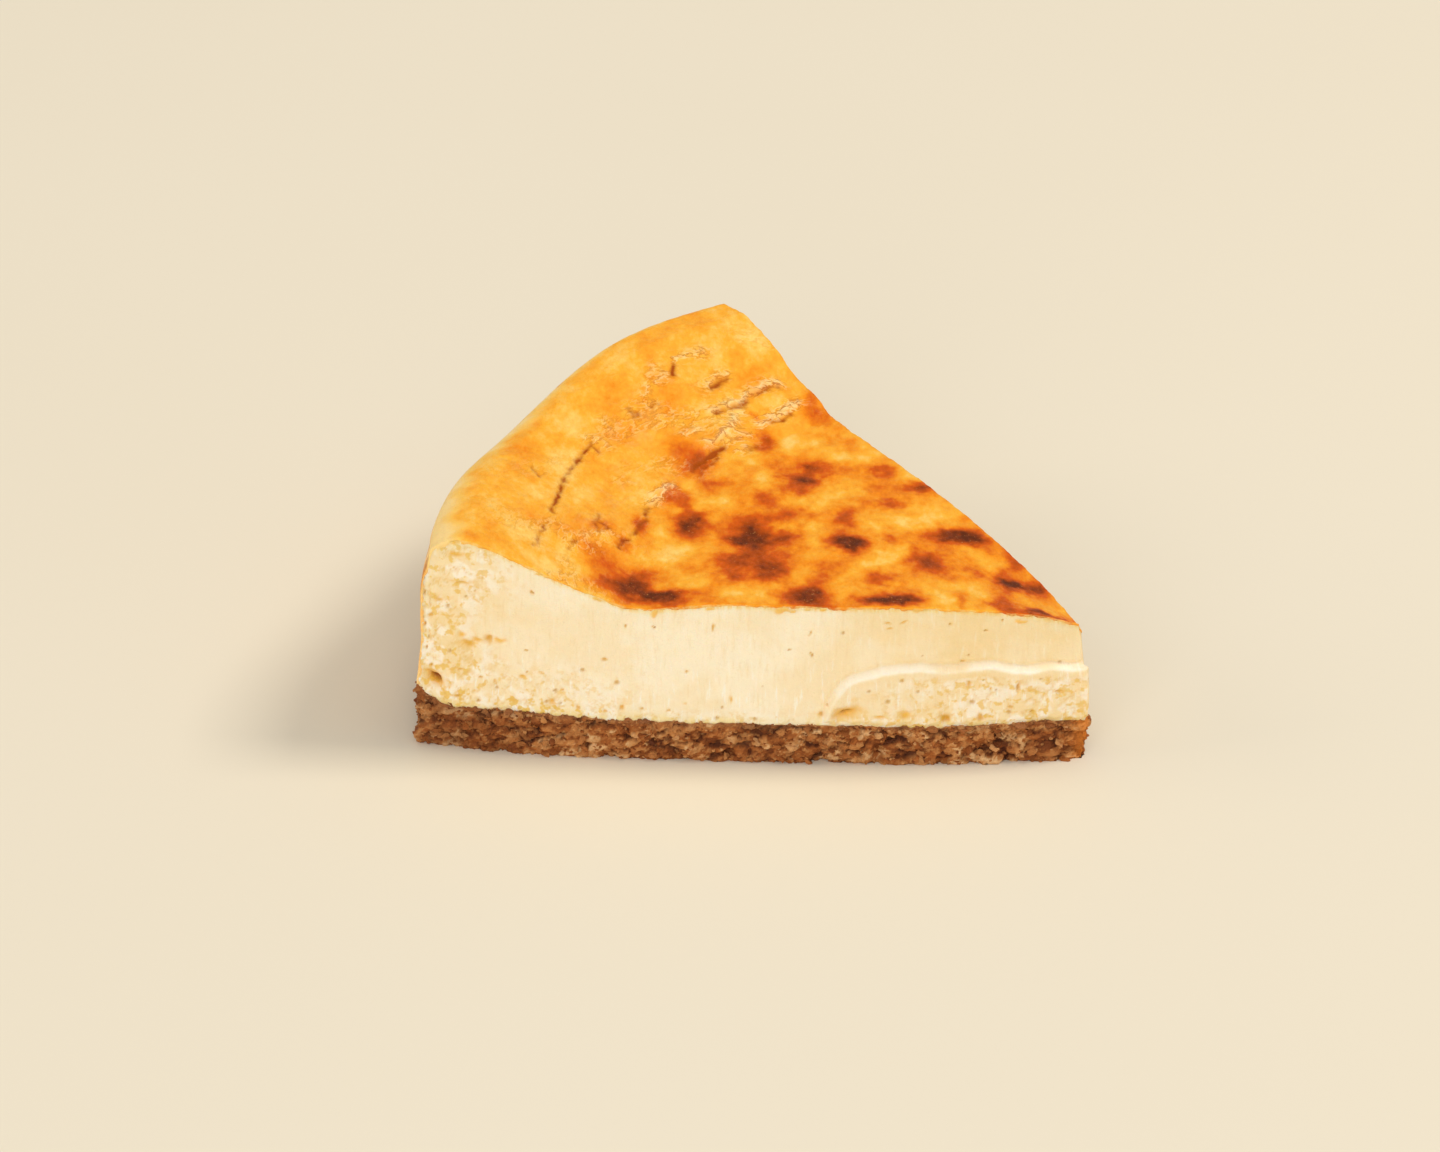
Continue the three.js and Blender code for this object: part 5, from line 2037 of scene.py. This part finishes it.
    def _close(self, maker: MeshMaker, outer: Numbers, inner: Numbers, rows: list[SkinRow]) -> None:
        """Joins the outer layer to the inner one by a rounded ragged edge.

        Args:
            maker: Mesh that the faces go to.
            outer: Numbers of the outer points, row by row.
            inner: Numbers of the inner points, row by row.
            rows: The outer rows.
        """
        points = np.concatenate(maker.points) / MM
        sides = (
            (Side.FRONT, [row[0] for row in outer], [row[0] for row in inner]),
            (Side.RIM, outer[-1], inner[-1]),
            (Side.BACK, [row[-1] for row in outer][::-1], [row[-1] for row in inner][::-1]),
            (Side.TIP, outer[0][::-1], inner[0][::-1]),
        )
        corners: dict[int, tuple[int, int]] = {}
        fields = {name: np.concatenate(parts) for name, parts in maker.fields.items()}
        for side, outer_line, inner_line in sides:
            line = np.array(outer_line)
            spot = points[line]
            down, out = self._edge_frame(side, spot, rows)
            ragged = self._edge_thickness(side, spot)
            rings = []
            for depth, reach in ((0.45, 0.06), (1.0, -0.04)):
                moved = spot + down * (ragged * depth)[:, None] + out * reach
                x = moved[:, 0] + self.form.middle[0]
                y = moved[:, 1] + self.form.middle[1]
                kept = {name: fields[name][line] for name in ("scorch", "wall", "shoulder", "skin_place")}
                rings.append(maker.add(x, y, moved[:, 2], edge=np.ones(line.size), **kept).tolist())
            for end in (0, -1):
                own = corners.setdefault(outer_line[end], (rings[0][end], rings[1][end]))
                rings[0][end], rings[1][end] = own
            maker.zipper(outer_line, rings[0])
            maker.zipper(rings[0], rings[1])
            maker.zipper(rings[1], inner_line)

    def _edge_frame(self, side: Side, spot: Array, rows: list[SkinRow]) -> tuple[Array, Array]:
        """Directions into the skin's thickness and out of its edge, for a line of edge points.

        Args:
            side: Which side it is.
            spot: Positions of the edge points.
            rows: The outer rows.

        Returns:
            Two directions for each point.
        """
        form = self.form
        down = np.tile(np.array([0.0, 0.0, -1.0]), (len(spot), 1))
        out = np.zeros((len(spot), 3))
        if side in (Side.FRONT, Side.BACK):
            order = rows if side is Side.FRONT else rows[::-1]
            radius = np.array([row.radius for row in order])
            dropped = np.array([row.drop for row in order]) > 0.0
            turn = 0.0 if side is Side.FRONT else 1.0
            shoulder = float(form.shoulder(np.array(turn)))
            over = clamp((radius - (form.cake_radius - shoulder)) / shoulder)
            over = np.where(dropped, 1.0, over)
            inward = np.array([math.cos(form.wedge_angle * turn), -math.sin(form.wedge_angle * turn), 0.0])
            down = down * np.sqrt(1.0 - over**2)[:, None] + inward * over[:, None]
            out[:, 0], out[:, 1] = form.outward(radius, side)
        elif side is Side.RIM:
            x, y = spot[:, 0] + form.middle[0], spot[:, 1] + form.middle[1]
            length = np.hypot(x, y)
            down = np.stack([-x / length, -y / length, 0.0 * x], axis=1)
            out[:, 2] = -1.0
        else:
            out[:, 0] = 1.0
        return down, out

    def _edge_thickness(self, side: Side, spot: Array) -> Array:
        """Uneven thickness of the skin along an edge.

        Args:
            side: Which side it is.
            spot: Positions of the edge points.

        Returns:
            A thickness for each point.
        """
        line = spot[:, 0] * 1.3 + spot[:, 2] + self.side_shift * side.value
        fine = Noise(0.9, 131).octaves(line, spot[:, 1], count=2)
        coarse = Noise(4.5, 132).at(line, spot[:, 1])
        return np.clip(self.thickness * (1.0 + 0.45 * fine + 0.6 * np.maximum(coarse, 0.0)), 0.16, 1.1)


@dataclass
class CrumbBase:
    """The pressed crumb base, flat underneath, with rough sides.

    Attributes:
        form: The wedge.
        step: Spacing of the columns on its sides.
        levels: Number of levels from the underside to the filling.
        across: Number of columns between the cuts on its flat faces.
        tuck: How far its foot is drawn in.
        draw: How far its sides are drawn in, to make room for the crumbs' relief.
    """

    form: WedgeForm
    step: float = 0.3
    levels: int = 27
    across: int = 12
    tuck: float = 0.5
    draw: float = 0.25

    def build(self, material: Material) -> Object:
        """Builds the base.

        Args:
            material: The biscuit crumbs.

        Returns:
            The finished object.
        """
        form = self.form
        maker = MeshMaker(form)
        count = round((form.cake_radius - form.tip_radius) / self.step)
        radii = np.linspace(form.tip_radius, form.cake_radius, count + 1)
        outline = Outline.of(form, radii, self.across, round(form.cake_radius * form.wedge_angle / self.step))
        share = np.linspace(0.0, 1.0, self.levels + 1)[:, None]
        height = form.layer(outline.radius, outline.turn) * share
        x, y = form.plan(outline.radius, outline.turn)
        ragged = 0.35 + 0.65 * Noise(5.0, 43).octaves(x, y, height)
        settle = ease(1.0 - share, 0.0, 0.12)
        relief = 0.3 * Noise(6.0, 44).at(x, y, height) - self.draw
        relief = relief - self.tuck * bell(height, 1.2) * ragged
        along = np.broadcast_to(outline.radius, height.shape)
        for notch in NOTCHES:
            wobble = 0.4 * Noise(1.4, 45).at(along, height)
            dent = notch.depth * notch.shape(along + wobble, height + wobble)
            relief = relief - np.where(outline.side == Side.FRONT.value, dent, 0.0)
        # Mask of the tip's facet: it gets a painted highlight, less relief and fewer crumbs
        glow = bell(along, 2.9) * np.where(outline.side == Side.BACK.value, 0.0, 1.0)
        firm = settle * (1.0 - 0.5 * glow)
        is_rim = outline.side == Side.RIM.value
        rim_show = 0.6 * ease(share, 0.9, 0.7) + 0.0 * height
        edge_show = 0.8 + 1.6 * ease(share, 0.85, 0.98) + 0.0 * height
        rings = maker.add(
            x + outline.out_x * relief * settle,
            y + outline.out_y * relief * settle,
            height,
            crumb_out=directions(outline.out_x * firm, outline.out_y * firm, 0.0 * firm),
            crumb_show=clamp(1.0 - 1.3 * glow) * np.where(is_rim, rim_show, edge_show),
            glow=glow * 0.85,
            upper=ease(share, 0.8, 1.0) + 0.0 * height,
            outer=ease(along, 92.0, 113.0),
        )

        def foot(radius: Array, turn: Array) -> tuple[Array, Array, Array]:
            """Place of a point on the underside."""
            return *form.plan(radius, turn), 0.0 * radius

        def head(radius: Array, turn: Array) -> tuple[Array, Array, Array]:
            """Place of a point under the filling."""
            return *form.plan(radius, turn), form.layer(radius, turn)

        outline.join(maker, rings, (foot, head))
        item = maker.finish("crumb_base_pressed")
        return crumb_texture().bake(item, Material=material)


@dataclass
class LooseCrumbs:
    """Crumbs that stand proud of the base's sides.

    Attributes:
        seed: Which scatter it is.
        coarse_size: Width of the larger crumbs.
        coarse_density: How many of them lie on a square millimetre.
        fine_size: Width of the smaller crumbs.
        fine_density: How many of them lie on a square millimetre.
    """

    seed: int = 7
    coarse_size: float = 1.7
    coarse_density: float = 0.06
    fine_size: float = 0.75
    fine_density: float = 0.75

    def build(self, base: Object, material: Material) -> Object:
        """Scatters the crumbs.

        Args:
            base: The pressed base that they stick to.
            material: The biscuit crumbs.

        Returns:
            The finished object.
        """
        return crumb_scatter().bake(
            place_object("loose_crumbs", base.data.copy()),
            Material=material,
            Seed=self.seed,
            Coarse_Size=self.coarse_size,
            Coarse_Density=self.coarse_density,
            Fine_Size=self.fine_size,
            Fine_Density=self.fine_density,
        )


@dataclass
class Studio:
    """Pale floor, soft lights and the camera at the photograph's angle.

    Attributes:
        target: Point that the camera looks at.
        distance: How far the camera stands from it.
        elevation: Height of the camera over the horizon, in degrees.
        roll: How far the camera is turned about its line of sight, in radians.
        lens: Focal length for a sensor 36 wide.
        key_energy: Power of the light from the right, in watts.
        fill_energy: Power of the light from the front.
        left_energy: Power of the light from the left.
        world_strength: Strength of the light from all round.
        floor_reach: Half of the floor's side, in metres.
    """

    target: Place = (-6.16, 22.13, 0.0)
    distance: float = 1437.0
    elevation: float = 26.5
    roll: float = 0.022
    lens: float = 200.0
    key_energy: float = 40.0
    fill_energy: float = 54.0
    left_energy: float = 14.0
    world_strength: float = 0.54
    floor_reach: float = 6.0

    def camera(self) -> Object:
        """Places the camera.

        Returns:
            The camera.
        """
        data = bpy.data.cameras.new("Camera")
        data.lens = self.lens
        data.sensor_width = 36.0
        data.clip_start = 0.05
        data.clip_end = 20.0
        item = place_object("Camera", data)
        angle = math.radians(self.elevation)
        forward = Vector((0.0, math.cos(angle), -math.sin(angle)))
        right = Vector((1.0, 0.0, 0.0))
        up = Vector((0.0, math.sin(angle), math.cos(angle)))
        turned_right = right * math.cos(self.roll) + up * math.sin(self.roll)
        turned_up = up * math.cos(self.roll) - right * math.sin(self.roll)
        place = (Vector(self.target) - forward * self.distance) * MM
        matrix = Matrix((turned_right, turned_up, -forward)).transposed().to_4x4()
        matrix.translation = place
        item.matrix_world = matrix
        bpy.context.scene.camera = item
        return item

    def light(self, name: str, place: Place, size: float, energy: float, tone: str) -> None:
        """Adds a soft square light that looks at the cake.

        Args:
            name: Name of the light.
            place: Where it stands, in metres.
            size: Length of its side, in metres.
            energy: Power in watts.
            tone: Colour as #rrggbb.
        """
        data = bpy.data.lights.new(name, "AREA")
        data.shape = "SQUARE"
        data.size = size
        data.energy = energy
        data.color = paint(tone)[:3]
        item = place_object(name, data)
        item.location = place
        item.rotation_mode = "QUATERNION"
        item.rotation_quaternion = (Vector((0.0, 0.0, 0.02)) - Vector(place)).to_track_quat("-Z", "Y")

    def build(self) -> Object:
        """Makes the stage.

        Returns:
            The floor.
        """
        self.camera()
        self.light("Key light", (1.9, 0.2, 2.3), 0.9, self.key_energy, "#fffaf6")
        self.light("Front fill", (-0.5, -3.2, 1.5), 2.4, self.fill_energy, "#f2f6ff")
        self.light("Left fill", (-2.6, -0.2, 1.0), 1.6, self.left_energy, "#fff0d8")
        world = bpy.data.worlds.new("Studio")
        world.use_nodes = True
        background = world.node_tree.nodes["Background"]
        background.inputs["Color"].default_value = paint("#f8faff")
        background.inputs["Strength"].default_value = self.world_strength
        bpy.context.scene.world = world
        bpy.context.scene.view_settings.view_transform = "Standard"
        mesh = bpy.data.meshes.new("pale_floor")
        far = self.floor_reach
        corners = [(-far, -far, 0.0), (far, -far, 0.0), (far, far, 0.0), (-far, far, 0.0)]
        mesh.from_pydata(corners, [], [(0, 1, 2, 3)])
        floor = place_object("pale_floor", mesh)
        mesh.materials.append(FloorFinish().material())
        return floor


def report(item: Object) -> None:
    """Logs how many triangles a piece has.

    Args:
        item: The piece.
    """
    mesh = item.data
    mesh.calc_loop_triangles()
    LOG.info("%s: %d triangles", item.name, len(mesh.loop_triangles))


def main() -> None:
    """Builds the pieces in order and gives each to its body."""
    logging.basicConfig(level=logging.INFO, format="%(name)s %(message)s")
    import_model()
    form = WedgeForm()
    speckle = speckle_group()
    Studio().build()
    cream = CreamFilling(form).build(CreamFinish().material(speckle))
    skin = BrownedSkin(form).build(SkinFinish().material(speckle))
    crumb_material = CrumbFinish().material(speckle)
    base = CrumbBase(form).build(crumb_material)
    crumbs = LooseCrumbs().build(base, crumb_material)
    for item, slot in ((cream, "filling"), (skin, "filling"), (base, "crumb_base"), (crumbs, "crumb_base")):
        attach(item, BODY)
        report(item)
    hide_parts("filling")
    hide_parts("crumb_base")


if __name__ == "__main__":
    main()
